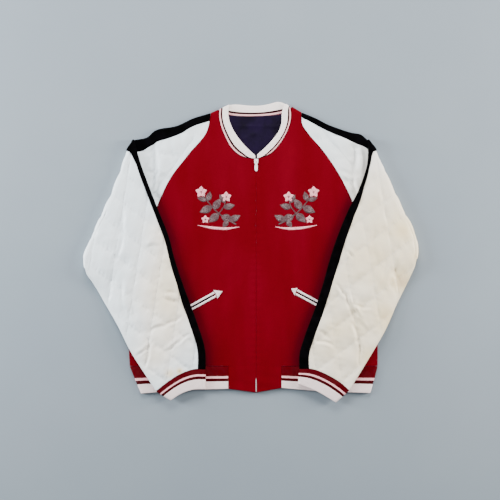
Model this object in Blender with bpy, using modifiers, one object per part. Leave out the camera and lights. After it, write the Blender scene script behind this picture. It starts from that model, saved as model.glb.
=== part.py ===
"""A souvenir jacket laid flat on its back, zipped up, with both raglan sleeves folded over the fronts.

Metres, +Z up. The back rests on z = 0, +Y runs to the collar and +X to the wearer's left, and the origin is
under the middle of the outline. "right" and "left" in names are the wearer's. The tables of outlines are in
millimetres, as the pieces lie; each one is a smooth curve through its rows.

Every piece of cloth is a wall between an outer and an inner grid of points. A sleeve is a flattened tube
with a crease along its stripe and a seam under the arm. It lies flat from the raglan seam to the fold,
turns over there, and lies on the body from the fold to the cuff. Every layer of a sleeve takes the same turn,
at its own depth, so the layers stay one on another.
"""

import bmesh
import bpy
import numpy as np

MM = 0.001

# Cloth walls and how the layers stack.
SEAM_GAP = 0.4 * MM
RAGLAN_GAP = 1.4 * MM  # along X, which leaves about a seam gap square to the slant
STRIPE_GAP = 0.9 * MM
HEM_GAP = 1.0 * MM
BACK_HEM_RISE = 16 * MM  # how far the back's hem is pulled up behind the fronts'
BODY_WALL = 2.8 * MM
BODY_TOP = 8.4 * MM
SIDE_ROLL = 2.4 * MM  # how far a front comes down to the back at its side seam
SIDE_ROLL_WIDTH = 30 * MM
RIB_WALL = 2.8 * MM
RIB_RELIEF = 0.6 * MM
RIB_PITCH = 6.2 * MM
SLEEVE_WALL = 4.2 * MM
SLEEVE_DEPTH = 9.2 * MM  # a flattened sleeve, both layers
QUILT_RELIEF = 2.2 * MM
QUILT_SPACING = 56 * MM  # between two rows of quilting, square to them
QUILT_ANGLE = np.radians(31)  # each way from the sleeve's length
STRIPE_WALL = 3.4 * MM
FOLD_INSIDE = 0.8 * MM  # inside radius of the folded sleeve
FOLDED_REST = SLEEVE_DEPTH + 2 * FOLD_INSIDE  # height on which the folded stretch lies
FLOOR_GAP = 0.4 * MM
DRAPE = 70 * MM  # run over which a sleeve comes down from the body to the floor
TOP_DRAPE = 130 * MM  # the same for the upper layer, which is puffed up over the edge
CROWN_TOP = 5 * MM
CROWN_UNDER = 2 * MM
CUFF_DEPTH = 8.4 * MM
CUFF_WIDTH = 130 * MM
LINING_WALL = 1.0 * MM
LAYER_GAP = 0.3 * MM  # between a piece and what it lies on
TAPE_WALL = 1.0 * MM
TAPE_WIDTH = 15 * MM

# The front opening.
CENTRE_X = 10 * MM
FRONT_SLOT = 1.6 * MM  # half the gap that shows the zip
OPENING_EASE = 1.15  # rows stand closer at the neck end of the opening
NECK_POINT_Y = 219 * MM
HEM_SEAM_Y = -275 * MM
TAB_EDGE_X = {"right": -57 * MM, "left": 71 * MM}
TAB_SIDE_Y = {"right": -330 * MM, "left": -328 * MM}
TAB_POINT_Y = -339 * MM

# Outlines: (x, y) in millimetres.
RAGLAN = {
    "right": ((-99, 333), (-107, 292), (-152, 234), (-196, 176), (-228, 109), (-264, 16)),
    "left": ((119, 334.5), (120, 308), (137, 281), (165, 249), (193, 211), (218, 169), (241, 120), (274, 16)),
}
NECK_CORNER = {"right": (-81, 341), "left": (96, 348)}
NECK_SEAM = {
    "right": ((-80, 336), (-77, 312), (-65, 278), (-45, 244), (-25, 229), (7.6, 223)),
    "left": ((94, 340), (93, 315), (84, 288), (66, 258), (44, 235), (12.4, 223.5)),
}
BACK_NECK_SEAM = ((-70, 333), (-56, 329), (-20, 326), (10, 326), (45, 328), (70, 332), (84, 337))
SIDE_SEAM = {
    "right": ((-264, 16), (-279, -60), (-288, -150), (-296, -225), (-294, -275)),
    "left": ((274, 16), (285, -60), (294, -150), (302, -225), (302, -275)),
}
SHOULDER_CREASE = {
    "right": ((-99, 333), (-143, 319.5), (-178, 303), (-237, 288), (-251, 275), (-279, 265)),
    "left": ((119, 334.5), (153, 320.5), (181, 306), (210, 295), (238, 285), (260, 278), (276.5, 262)),
}
UPPER_UNDERARM = {
    "right": ((-264, 16), (-330, -8), (-397, -36)),
    "left": ((274, 16), (338, 5), (398, -14)),
}
SLEEVE_FOLD = {  # straight as far as the third row from the end, and round the elbow from there
    "right": ((-279, 265), (-340, 112), (-388, -2), (-399, -22), (-397, -36)),
    "left": ((276.5, 262), (343, 120), (390, 20), (400, 0), (398, -14)),
}
ARM_CREASE = {
    "right": (
        (-279, 265),
        (-267, 212),
        (-245, 152),
        (-223, 95),
        (-200, 37),
        (-185, -20),
        (-165, -80),
        (-134, -164),
        (-112, -240),
        (-111, -282),
    ),
    "left": (
        (276.5, 262),
        (276, 212),
        (257, 152),
        (229, 95),
        (205, 37),
        (186, -20),
        (170, -78),
        (151, -136),
        (126, -204),
        (114, -245),
        (113, -281),
    ),
}
ARM_UNDERARM = {
    "right": ((-397, -36), (-384, -70), (-353, -126), (-319, -184), (-290, -241), (-253, -299), (-230, -334)),
    "left": ((398, -14), (382, -58), (346, -131), (322, -184), (289, -241), (254, -299), (233, -332)),
}
CUFF_SEAM = {
    "right": ((-111, -282), (-130, -281), (-171, -293), (-200, -311), (-230, -334)),
    "left": ((113, -281), (132, -280), (188, -300), (233, -332)),
}
CUFF_EDGE = {
    "right": ((-113, -329), (-143, -331), (-171, -341), (-194, -356)),
    "left": ((112, -317), (156, -335), (200, -361)),
}
# The stripe on each side of its crease: row position along the sleeve, width in millimetres.
STRIPE_WIDTH = {
    "right": (
        (0, 18),
        (0.15, 19),
        (0.35, 24),
        (0.5, 23),
        (0.7, 26),
        (0.9, 32),
        (1, 30),
        (2, 30),
        (2.03, 23),
        (2.08, 16),
        (2.3, 14),
        (2.62, 15),
        (2.7, 19),
        (3, 17),
    ),
    "left": (
        (0, 10),
        (0.2, 15),
        (0.55, 18),
        (0.7, 22),
        (0.86, 33),
        (1, 29),
        (2, 27),
        (2.04, 19),
        (2.1, 11),
        (2.18, 12),
        (2.25, 19),
        (2.35, 24),
        (2.5, 27),
        (2.62, 23),
        (3, 22),
    ),
}
HEM_EDGE = {
    "right": ((-57, -330), (-150, -333), (-263, -341)),
    "left": ((71, -328), (170, -336), (280, -340)),
}
LINING_TOP = ((-66, 329.5), (-56, 327.8), (-20, 325.2), (10, 325.2), (45, 327), (70, 330.5), (80, 333.5))
LINING_EDGE = {
    "right": ((-66, 329.5), (-63, 290), (-42, 240), (-22, 200)),
    "left": ((80, 333.5), (79, 290), (54, 240), (34, 200)),
}

# The collar's free edge at each front, from the neck corner to the zip, and across the back: (x, y).
COLLAR_EDGE = {
    "right": ((-58, 338), (-55, 316), (-45, 292), (-29, 268), (-13, 250), (7.6, 231)),
    "left": ((71, 340), (71, 310), (66, 292), (52, 272), (34, 252), (12.4, 233)),
}
BACK_COLLAR_EDGE = ((-49, 354), (-37, 354), (-5, 351), (18, 351), (46, 356), (64, 361), (76, 358))
COLLAR_SIDE = 140 * MM  # length of the collar along one front, and across the back
COLLAR_BACK = 135 * MM
# Where the collar turns from front to back: seam x, seam y, edge x, edge y.
COLLAR_TURN = {"right": (-76, 341, -53, 352), "left": (90, 345, 79, 354)}

# Quilting: a corner of one diamond on each sleeve, and the sleeve's direction to its cuff.
QUILT_CORNER = {"right": (-328, -8), "left": (336, -6)}
SLEEVE_AXIS = {"right": (0.375, -0.927), "left": (-0.368, -0.930)}

# Soft folds: x and y of the two ends, half width and height, all in millimetres.
ARM_FOLDS = {
    "right": (
        (-252, 18, -222, 48, 9, 1.6),
        (-206, -103, -182, -112, 7, 1.8),
        (-240, -189, -172, -160, 9, -2.0),
        (-276, -260, -246, -220, 10, 1.8),
        (-200, -236, -152, -200, 8, 1.6),
        (-372, 52, -346, 90, 10, -1.6),
    ),
    "left": (
        (226, 0, 243, -14, 7, 1.4),
        (204, -84, 257, -160, 9, 1.8),
        (154, -212, 192, -226, 8, -1.8),
        (242, -128, 283, -134, 8, 1.6),
        (228, -104, 252, -216, 10, 1.5),
    ),
}
SHOULDER_FOLDS = {
    "right": (
        (-236, 250, -232, 122, 9, -0.7),
        (-252, 188, -206, 190, 8, 1.2),
        (-180, 270, -166, 236, 14, 1.2),
        (-214, 262, -206, 150, 12, 1.1),
    ),
    "left": (
        (244, 250, 252, 146, 9, -0.7),
        (262, 240, 268, 160, 8, 1.1),
        (214, 182, 238, 184, 8, 1.2),
        (190, 262, 222, 196, 14, 1.2),
    ),
}
BODY_FOLDS = (
    (-48, 10, -120, -190, 16, 0.9),
    (60, 40, 118, -150, 16, 0.8),
    (-100, 250, -70, 130, 14, 0.8),
    (98, 240, 84, 120, 14, 0.8),
    (-60, -120, -20, -250, 18, 0.7),
)
LINING_FOLDS = (
    (-40, 300, 74, 300, 4, 0.7),
    (-22, 270, 16, 287, 4, 0.6),
)

# Pockets: the inner and the outer end of each upper welt, and the same for the lower one.
WELT_WIDTH = 5 * MM
WELT_RISE = 1.2 * MM
WELTS = {
    "right": {
        "upper_welt": ((-90.6, -98.8), (-220, -169.5)),
        "lower_welt": ((-86.7, -107.1), (-216, -177.5)),
    },
    "left": {
        "upper_welt": ((108.4, -93.3), (234, -160.3)),
        "lower_welt": ((105.6, -102.1), (230, -168.3)),
    },
}
ARROWHEAD = {
    "right": ((-92.6, -92.6), (-70.7, -95.4), (-83, -113.3), (-86.8, -102.6)),
    "left": ((109.2, -87.8), (94, -89.2), (103, -106.5), (105.2, -97)),
}
ARROWHEAD_RISE = 1.6 * MM

# Zip.
SLIDER_Y = 217 * MM
SLIDER_BASE = BODY_TOP + LAYER_GAP
SLIDER_PLATE = 1.2 * MM
SLIDER_LENGTH = 11 * MM
SLIDER_WIDTH = 9 * MM
STEM_WIDTH = 1.8 * MM
STEM_DEPTH = 2.2 * MM
BRIDGE_SPAN = 6.4 * MM
BRIDGE_RISE = 2.6 * MM
BRIDGE_BAR = 1.2 * MM
PULL_AXIS_Z = SLIDER_BASE + SLIDER_PLATE + 0.9 * MM
PULL_THICKNESS = 0.8 * MM
PULL_TILT = np.radians(3.5)
PULL_LENGTH = 24 * MM
PIN_LENGTH = 31 * MM
PIN_WIDTH = 2.6 * MM

VELVETEEN_RED = (0.24, 0.002, 0.006, 1)
SATIN_WHITE = (0.76, 0.76, 0.74, 1)
VELVET_BLACK = (0.006, 0.005, 0.007, 1)
RIB_CREAM = (0.85, 0.72, 0.68, 1)
LINING_PURPLE = (0.017, 0.008, 0.05, 1)
PIPING_WHITE = (0.9, 0.82, 0.8, 1)
TAPE_RED = (0.09, 0.002, 0.004, 1)
NICKEL = (0.75, 0.72, 0.7, 1)


def clear_scene():
    for obj in list(bpy.data.objects):
        bpy.data.objects.remove(obj, do_unlink=True)


def collection(name, hidden=False):
    made = bpy.data.collections.new(name)
    made.hide_render = hidden
    bpy.context.scene.collection.children.link(made)
    return made


def finish(name, color, roughness, metallic=0.0):
    """A plain Principled material."""
    made = bpy.data.materials.new(name)
    made.use_nodes = True
    shader = made.node_tree.nodes["Principled BSDF"]
    shader.inputs["Base Color"].default_value = color
    shader.inputs["Roughness"].default_value = roughness
    shader.inputs["Metallic"].default_value = metallic
    return made


def add_object(name, mesh, material, target):
    obj = bpy.data.objects.new(name, mesh)
    mesh.materials.append(material)
    target.objects.link(obj)
    return obj


# ---- curves and heights -------------------------------------------------------------------------------


def curve(knots, t):
    """Points at t, from 0 to 1 by length, on a smooth curve through the knots."""
    knots = np.array(knots, float) * MM
    run = np.concatenate([[0], np.cumsum(np.linalg.norm(np.diff(knots, axis=0), axis=1))])
    slope = np.gradient(knots, run, axis=0)
    at = np.clip(np.asarray(t, float), 0, 1) * run[-1]
    i = np.clip(np.searchsorted(run, at, side="right") - 1, 0, len(run) - 2)
    step = (run[i + 1] - run[i])[..., None]
    f = (at - run[i])[..., None] / step
    start = (1 + 2 * f) * (1 - f) ** 2 * knots[i] + f * (1 - f) ** 2 * step * slope[i]
    end = f**2 * (3 - 2 * f) * knots[i + 1] - f**2 * (1 - f) * step * slope[i + 1]
    return start + end


def patch(first, last, start, end, u, v):
    """Points at u, v between four curves: first and last run along u, start and end along v."""
    u = np.broadcast_to(u, np.broadcast(u, v).shape)
    v = np.broadcast_to(v, u.shape)
    a, b = u[..., None], v[..., None]
    sides = (1 - b) * curve(first, u) + b * curve(last, u) + (1 - a) * curve(start, v) + a * curve(end, v)
    zero, one = np.zeros_like(u), np.ones_like(u)
    near = (1 - b) * curve(first, zero) + b * curve(last, zero)
    far = (1 - b) * curve(first, one) + b * curve(last, one)
    return sides - (1 - a) * near - a * far


def smooth(t):
    t = np.clip(t, 0, 1)
    return t * t * (3 - 2 * t)


def folds(table, xy):
    """Height of the soft folds at xy: a rounded ridge, or a trough, that fades at both ends."""
    total = np.zeros(xy.shape[:-1])
    for x1, y1, x2, y2, half_width, height in table:
        foot = np.array((x1, y1)) * MM
        along = np.array((x2, y2)) * MM - foot
        length = np.linalg.norm(along)
        along = along / length
        offset = xy - foot
        run = offset @ along
        across = offset[..., 0] * along[1] - offset[..., 1] * along[0]
        ends = smooth((run + 0.2 * length) / (0.4 * length)) * smooth((1.2 * length - run) / (0.4 * length))
        total += height * MM * ends * np.exp(-((across / (half_width * MM)) ** 2))
    return total


def outside(xy, outline):
    """How far each point lies outside a closed outline, and 0 inside it."""
    flat = xy.reshape(-1, 2)
    a = outline
    b = np.roll(outline, -1, axis=0)
    edge = b - a
    offset = flat[:, None] - a[None]
    t = np.clip((offset * edge).sum(-1) / np.maximum((edge * edge).sum(-1), 1e-12), 0, 1)
    gap = np.linalg.norm(offset - t[..., None] * edge, axis=-1).min(1)
    rise = np.where(np.abs(edge[:, 1]) < 1e-12, 1e-12, edge[:, 1])
    crossing = a[:, 0] + (flat[:, None, 1] - a[:, 1]) * edge[:, 0] / rise
    spans = (a[:, 1] > flat[:, None, 1]) != (b[:, 1] > flat[:, None, 1])
    inside = (spans & (flat[:, None, 0] < crossing)).sum(1) % 2 == 1
    return np.where(inside, 0, gap).reshape(xy.shape[:-1])


def body_outline():
    """The body with its hem, as one closed outline."""
    t = np.linspace(0, 1, 9)
    corner = np.array((NECK_CORNER["right"], NECK_CORNER["left"])) * MM
    right = [curve(RAGLAN["right"], t), curve(SIDE_SEAM["right"], t), curve(HEM_EDGE["right"], t)[::-1]]
    left = [curve(RAGLAN["left"], t), curve(SIDE_SEAM["left"], t), curve(HEM_EDGE["left"], t)[::-1]]
    return np.concatenate([corner[:1], *right, np.concatenate(left)[::-1], corner[1:]])


def shoulder_outline(side):
    """The stretch of a sleeve that lies unfolded beside the body."""
    t = np.linspace(0, 1, 9)
    top = curve(SHOULDER_CREASE[side], t)
    under = curve(UPPER_UNDERARM[side], t)
    return np.concatenate([top, under[::-1], curve(RAGLAN[side], t)[::-1]])


SUPPORTS = (body_outline(), shoulder_outline("right"), shoulder_outline("left"))


def past_support(xy):
    """How far each point lies past the edges of the body and of the shoulders."""
    return np.min([outside(xy, outline) for outline in SUPPORTS], axis=0)


def draped(past, run):
    """Height of what a folded sleeve lies on: full on the body, then down to the floor over that run."""
    return FLOOR_GAP + (FOLDED_REST - FLOOR_GAP) * (1 - smooth(past / run))


def rest_height(xy):
    return draped(past_support(xy), DRAPE)


def stripe_width(side, s):
    """The stripe's width at each row, on each side of its crease."""
    rows, widths = np.array(STRIPE_WIDTH[side], float).T
    return np.interp(s, rows, widths) * MM


def side_distance(xy):
    """How far inside the nearer side seam each point lies."""
    t = np.linspace(0, 1, 25)
    gaps = []
    for side in ("right", "left"):
        seam = curve(SIDE_SEAM[side], t)
        gaps.append(np.linalg.norm(xy[..., None, :] - seam, axis=-1).min(-1))
    return np.min(gaps, axis=0)


def front_top(xy):
    """Height of the outer face of the fronts."""
    roll = np.clip(1 - side_distance(xy) / SIDE_ROLL_WIDTH, 0, 1) ** 2
    return BODY_TOP + folds(BODY_FOLDS, xy) - SIDE_ROLL * roll


# ---- walls --------------------------------------------------------------------------------------------


def solid_from(name, points, faces, material, target):
    """One closed solid, with its faces turned outwards."""
    mesh = bpy.data.meshes.new(name)
    mesh.from_pydata([tuple(p) for p in points], [], faces)
    build = bmesh.new()
    build.from_mesh(mesh)
    if build.calc_volume(signed=True) < 0:
        bmesh.ops.reverse_faces(build, faces=build.faces[:])
    build.to_mesh(mesh)
    build.free()
    return add_object(name, mesh, material, target)


def kept(count, step):
    """Every step-th index, and both ends."""
    return sorted(set(range(0, count, step)) | {0, count - 1})


def inner_cell(ids, r0, r1, c0, c1):
    """The corners of one coarse inner face, with the border points that it has to meet."""
    last_row, last_column = ids.shape[0] - 1, ids.shape[1] - 1
    across = range(c0 + 1, c1)
    along = range(r0 + 1, r1)
    loop = [ids[r0, c0]]
    loop += [ids[r0, c] for c in across if r0 == 0]
    loop.append(ids[r0, c1])
    loop += [ids[r, c1] for r in along if c1 == last_column]
    loop.append(ids[r1, c1])
    loop += [ids[r1, c] for c in reversed(across) if r1 == last_row]
    loop.append(ids[r1, c0])
    loop += [ids[r, c0] for r in reversed(along) if c0 == 0]
    return loop


def wall(name, outer, inner, material, target, row_step=1, column_step=1, rows=None, columns=None):
    """A wall of cloth between two grids. Inside its border the inner one keeps only some rows and columns."""
    count_rows, count_columns = outer.shape[:2]
    keep_rows = rows or kept(count_rows, row_step)
    keep_columns = columns or kept(count_columns, column_step)
    used = np.zeros((count_rows, count_columns), bool)
    used[np.ix_(keep_rows, keep_columns)] = True
    used[[0, -1], :] = True
    used[:, [0, -1]] = True
    outer_ids = np.arange(outer.shape[0] * outer.shape[1]).reshape(outer.shape[:2])
    inner_ids = np.full(used.shape, -1)
    inner_ids[used] = outer_ids.size + np.arange(used.sum())
    points = np.concatenate([outer.reshape(-1, 3), inner[used]])
    a, b = outer_ids[:-1, :-1], outer_ids[:-1, 1:]
    c, d = outer_ids[1:, 1:], outer_ids[1:, :-1]
    faces = np.stack([a, b, c, d], axis=-1).reshape(-1, 4).tolist()
    for r0, r1 in zip(keep_rows[:-1], keep_rows[1:]):
        for c0, c1 in zip(keep_columns[:-1], keep_columns[1:]):
            faces.append(inner_cell(inner_ids, r0, r1, c0, c1)[::-1])
    rings = []
    for ids in (outer_ids, inner_ids):
        rings.append(np.concatenate([ids[0, :-1], ids[:-1, -1], ids[-1, :0:-1], ids[:0:-1, 0]]))
    ring_out, ring_in = rings
    border = np.stack([ring_out, ring_in, np.roll(ring_in, -1), np.roll(ring_out, -1)], axis=1)
    faces += border.tolist()
    return solid_from(name, points, [[int(i) for i in face] for face in faces], material, target)


def band(name, seam, edge, thickness, material, target, up=0.0, down=0.0, closed=False):
    """A strip of cloth between its seam and its free edge. up and down are relief on its two faces."""
    middle = (seam + edge) / 2
    if closed:
        along = np.roll(middle, -1, axis=0) - np.roll(middle, 1, axis=0)
    else:
        along = np.gradient(middle, axis=0)
    normal = np.cross(along, edge - seam)
    normal /= np.linalg.norm(normal, axis=1)[:, None]
    normal *= np.sign(normal[0, 2])
    high = normal * (thickness / 2 + np.broadcast_to(up, len(seam)))[:, None]
    low = normal * (thickness / 2 + np.broadcast_to(down, len(seam)))[:, None]
    rings = np.stack([seam + high, edge + high, edge - low, seam - low], axis=1)
    ids = np.arange(len(rings) * 4).reshape(-1, 4)
    following = np.roll(ids, -1, axis=0) if closed else ids[1:]
    faces = []
    for here, there in zip(ids, following):
        for k in range(4):
            faces.append([int(here[k]), int(here[(k + 1) % 4]), int(there[(k + 1) % 4]), int(there[k])])
    if not closed:
        faces.append([int(i) for i in ids[0][::-1]])
        faces.append([int(i) for i in ids[-1]])
    return solid_from(name, rings.reshape(-1, 3), faces, material, target)


def ribs(count, relief=RIB_RELIEF):
    """Relief of a row of ribs at 2 * count + 1 stations: low, high, low."""
    return relief * (np.arange(2 * count + 1) % 2)


def at_height(xy, z):
    return np.concatenate([xy, np.broadcast_to(z, xy.shape[:-1])[..., None]], axis=-1)


def turn(seam, edge, out, high, low, steps=5):
    """Stations of a strip that turns over a vertical half circle, from the height high to the height low."""
    angle = np.linspace(0, np.pi, steps)[:, None]
    radius = (high - low) / 2
    offset = np.asarray(out)[None] * radius * np.sin(angle)
    z = ((high + low) / 2 + radius * np.cos(angle))[:, 0]
    return at_height(seam[None] + offset, z), at_height(edge[None] + offset, z)


# ---- body ---------------------------------------------------------------------------------------------


def side_edge(side, raglan_steps, side_steps):
    """A front's outer edge from the neck corner: shoulder, raglan seam and side seam, clear of the sleeve."""
    inwards = RAGLAN_GAP * np.array((1 if side == "right" else -1, 0))
    raglan = curve(RAGLAN[side], np.linspace(0, 1, raglan_steps + 1)) + inwards
    seam = curve(SIDE_SEAM[side], np.linspace(0, 1, side_steps + 1))[1:] + inwards
    return np.concatenate([np.array([NECK_CORNER[side]]) * MM, raglan, seam])


def grid_between(first, last, start, end, u, v):
    """Like patch, between four rows of points that already have the grid's spacing."""
    a, b = u[:, None, None], v[None, :, None]
    sides = (1 - b) * first[:, None] + b * last[:, None] + (1 - a) * start[None] + a * end[None]
    near = (1 - b) * first[0] + b * last[0]
    far = (1 - b) * first[-1] + b * last[-1]
    return sides - (1 - a) * near - a * far


def make_front(side, material, target):
    sign = -1 if side == "right" else 1
    outer_edge = side_edge(side, 12, 9)
    rows = len(outer_edge)
    columns = 13
    v = np.linspace(0, 1, columns)
    u = np.linspace(0, 1, rows)
    centre = CENTRE_X + sign * FRONT_SLOT
    neck = curve(NECK_SEAM[side], v)
    neck += 2 * SEAM_GAP * np.array((sign, -1.0))
    neck[0] = outer_edge[0]
    neck[-1] = (centre, NECK_POINT_Y)
    down = NECK_POINT_Y + (HEM_SEAM_Y - NECK_POINT_Y) * u**OPENING_EASE
    opening = np.stack([np.full(rows, centre), down], axis=1)
    hem = outer_edge[-1] + (opening[-1] - outer_edge[-1]) * v[:, None]
    xy = grid_between(outer_edge, opening, neck, hem, u, v)
    top = front_top(xy)
    inner = at_height(xy, top - BODY_WALL)
    return wall(f"front_{side}", at_height(xy, top), inner, material, target, row_step=3, column_step=3)


def make_back(material, target):
    right = side_edge("right", 12, 6)
    left = side_edge("left", 12, 6)
    rows = len(right)
    v = np.linspace(0, 1, 15)
    u = np.linspace(0, 1, rows)
    neck = curve(BACK_NECK_SEAM, np.linspace(0, 1, 13)) - np.array((0, SEAM_GAP))
    neck = np.concatenate([right[:1], neck, left[:1]])
    hem = right[-1] + (left[-1] - right[-1]) * v[:, None]
    xy = grid_between(right, left, neck, hem, u, v)
    top = at_height(xy, BODY_WALL)
    return wall("back_panel", top, at_height(xy, 0.0), material, target, row_step=4, column_step=4)


def make_back_lining(material, target):
    u = np.linspace(0, 1, 11)
    v = np.linspace(0, 1, 11)
    right, left = curve(LINING_EDGE["right"], u), curve(LINING_EDGE["left"], u)
    top = curve(LINING_TOP, v)
    bottom = right[-1] + (left[-1] - right[-1]) * v[:, None]
    xy = grid_between(right, left, top, bottom, u, v)
    floor = BODY_WALL + LAYER_GAP
    outer = at_height(xy, floor + LINING_WALL + folds(LINING_FOLDS, xy))
    return wall("back_lining", outer, at_height(xy, floor), material, target, row_step=5, column_step=5)


def make_hem_tab(side, material, target):
    sign = -1 if side == "right" else 1
    near = CENTRE_X + sign * FRONT_SLOT
    far = TAB_EDGE_X[side]
    u = np.linspace(0, 1, 4)[:, None]
    v = np.linspace(0, 1, 5)[None]
    x = far + (near - far) * v
    bottom = TAB_SIDE_Y[side] + (TAB_POINT_Y - TAB_SIDE_Y[side]) * v
    y = (HEM_SEAM_Y - SEAM_GAP) * (1 - u) + bottom * u
    xy = np.stack(np.broadcast_arrays(x, y), axis=-1)
    outer = at_height(xy, BODY_TOP)
    return wall(f"hem_tab_{side}", outer, at_height(xy, BODY_TOP - BODY_WALL), material, target, 3, 4)


def make_collar(material, target):
    """One strip from the right front's point, up and round the back, and down to the left front's point."""
    high = BODY_TOP - BODY_WALL / 2
    low = RIB_WALL / 2
    seams, edges, reliefs = [], [], []
    for side in ("right", "left"):
        order = 1 if side == "left" else -1
        count = round(COLLAR_SIDE / RIB_PITCH)
        t = np.linspace(0, 1, 2 * count + 1)[::order]
        seams.append(at_height(curve(NECK_SEAM[side], t), high))
        edges.append(at_height(curve(COLLAR_EDGE[side], t), high))
        reliefs.append(ribs(count))
    count = round(COLLAR_BACK / RIB_PITCH)
    t = np.linspace(0, 1, 2 * count + 1)
    back_seam = at_height(curve(BACK_NECK_SEAM, t), low)
    back_edge = at_height(curve(BACK_COLLAR_EDGE, t), low)
    turns = {}
    for side, out in (("right", (-1, 0.1)), ("left", (1, 0.25))):
        place = np.array(COLLAR_TURN[side]) * MM
        turns[side] = turn(place[:2], place[2:], np.array(out), high, low)
    plain = np.zeros(5)
    seam = np.concatenate([seams[0], turns["right"][0], back_seam, turns["left"][0][::-1], seams[1]])
    edge = np.concatenate([edges[0], turns["right"][1], back_edge, turns["left"][1][::-1], edges[1]])
    up = np.concatenate([reliefs[0], plain, np.zeros(len(t)), plain, reliefs[1]])
    down = np.concatenate([np.zeros(len(reliefs[0])), plain, ribs(count), plain, np.zeros(len(reliefs[1]))])
    return band("collar_rib", seam, edge, RIB_WALL, material, target, up=up, down=down)


def make_hem(material, target):
    """One strip from the right tab, round the back, to the left tab."""
    high = BODY_TOP - BODY_WALL / 2
    low = RIB_WALL / 2
    radius = (high - low) / 2 + RIB_WALL / 2
    seam_y = HEM_SEAM_Y - HEM_GAP
    parts = {}
    for side, sign in (("right", -1), ("left", 1)):
        start = TAB_EDGE_X[side] + sign * SEAM_GAP
        end = SIDE_SEAM[side][-1][0] * MM - sign * radius
        count = round(abs(end - start) / RIB_PITCH)
        t = np.linspace(0, 1, 2 * count + 1)
        seam = np.stack([start + (end - start) * t, np.full(len(t), seam_y)], axis=1)
        edge = curve(HEM_EDGE[side], t)
        edge[:, 0] += sign * SEAM_GAP * (1 - t)
        bend = turn(seam[-1], edge[-1], np.array((sign, 0.0)), high, low)
        parts[side] = (at_height(seam, high), at_height(edge, high), bend, ribs(count))
    t = np.linspace(0, 1, 9)[1:-1, None]
    right, left = parts["right"], parts["left"]
    back_seam = right[0][-1, :2] + (left[0][-1, :2] - right[0][-1, :2]) * t
    back_edge = right[1][-1, :2] + (left[1][-1, :2] - right[1][-1, :2]) * t
    back_edge[:, 1] += BACK_HEM_RISE * np.sin(np.pi * t[:, 0]) ** 0.7
    seam = [right[0], right[2][0], at_height(back_seam, low), left[2][0][::-1], left[0][::-1]]
    edge = [right[1], right[2][1], at_height(back_edge, low), left[2][1][::-1], left[1][::-1]]
    seam[1], edge[1] = seam[1][1:], edge[1][1:]
    seam[3], edge[3] = seam[3][:-1], edge[3][:-1]
    plain = np.zeros(4 + 7 + 4)
    up = np.concatenate([right[3], plain, left[3]])
    return band("hem_rib", np.concatenate(seam), np.concatenate(edge), RIB_WALL, material, target, up=up)


# ---- sleeves ------------------------------------------------------------------------------------------


def fold_line(side):
    """The fold's first point and the direction square to the fold, away from the body."""
    start, end = np.array((SLEEVE_FOLD[side][0], SLEEVE_FOLD[side][-3]), float) * MM
    along = (end - start) / np.linalg.norm(end - start)
    out = np.array((along[1], -along[0]))
    if out[0] * start[0] < 0:
        out = -out
    return start, out


def sleeve_width(side, s):
    """Length of each row across the sleeve, from the crease to the underarm seam."""
    one, zero = np.ones_like(s), np.zeros_like(s)
    return np.linalg.norm(sleeve_xy(side, s, one) - sleeve_xy(side, s, zero), axis=-1)


def sleeve_xy(side, s, v):
    """Place at row s: 0 to 1 from raglan seam to fold, 1 to 2 in the turn, 2 to 3 from fold to cuff."""
    flat = patch(
        SHOULDER_CREASE[side], UPPER_UNDERARM[side], RAGLAN[side], SLEEVE_FOLD[side], np.clip(s, 0, 1), v
    )
    folded = patch(
        ARM_CREASE[side], ARM_UNDERARM[side], SLEEVE_FOLD[side], CUFF_SEAM[side], np.clip(s - 2, 0, 1), v
    )
    return np.where((np.asarray(s) <= 1.5)[..., None], flat, folded)


def quilting(side, xy):
    """How full the wadding stands: 0 on a row of stitches, 1 in the middle of a diamond."""
    axis = np.arctan2(SLEEVE_AXIS[side][1], SLEEVE_AXIS[side][0])
    offset = xy - np.array(QUILT_CORNER[side]) * MM
    fullness = []
    for angle in (axis - QUILT_ANGLE, axis + QUILT_ANGLE):
        square = offset @ np.array((-np.sin(angle), np.cos(angle)))
        fullness.append(np.abs(np.sin(np.pi * square / QUILT_SPACING)))
    return np.minimum(*fullness) ** 0.6


def unfolded(side, s, xy):
    """The place that a point before the fold would have after it: its mirror image in the fold."""
    start, out = fold_line(side)
    mirrored = xy - 2 * ((xy - start) @ out)[..., None] * out
    return np.where((np.asarray(s) < 1)[..., None], mirrored, xy)


def lay(side, s, across, depth):
    """World points of a sleeve's point at row s, across from the crease, and depth up from its back."""
    s = np.broadcast_to(s, across.shape)
    v = across / sleeve_width(side, s)
    xy = sleeve_xy(side, s, v)
    _, out = fold_line(side)
    reach = FOLD_INSIDE + SLEEVE_DEPTH - depth
    angle = np.pi * np.clip(s - 1, 0, 1)
    share = depth / SLEEVE_DEPTH
    middle = np.clip(4 * v * (1 - v), 0, 1) ** 0.7
    ends = np.clip(np.sin(np.pi * np.clip(s - 2, 0, 1)), 0, 1) ** 0.6
    lift = ends * middle * (CROWN_UNDER * share + CROWN_TOP * (1 - share))
    lift += ends * middle * folds(ARM_FOLDS[side], xy) * (1 - share)
    past = past_support(xy)
    resting = draped(past, DRAPE) + SLEEVE_DEPTH - depth + lift
    upper = ends**0.5 * middle * (depth < SLEEVE_DEPTH / 2)
    resting += upper * (draped(past, TOP_DRAPE) - draped(past, DRAPE))
    edge = np.clip(np.minimum(v, 1 - v) / 0.08, 0, 1) * np.clip(s / 0.12, 0, 1)
    flat = depth + edge * share * folds(SHOULDER_FOLDS[side], xy)
    turning = FOLD_INSIDE + SLEEVE_DEPTH - reach * np.cos(angle)
    z = np.where(s <= 1, flat, np.where(s < 2, turning, resting))
    moved = xy + (reach * np.sin(angle))[..., None] * out
    return at_height(moved, z)


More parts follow.
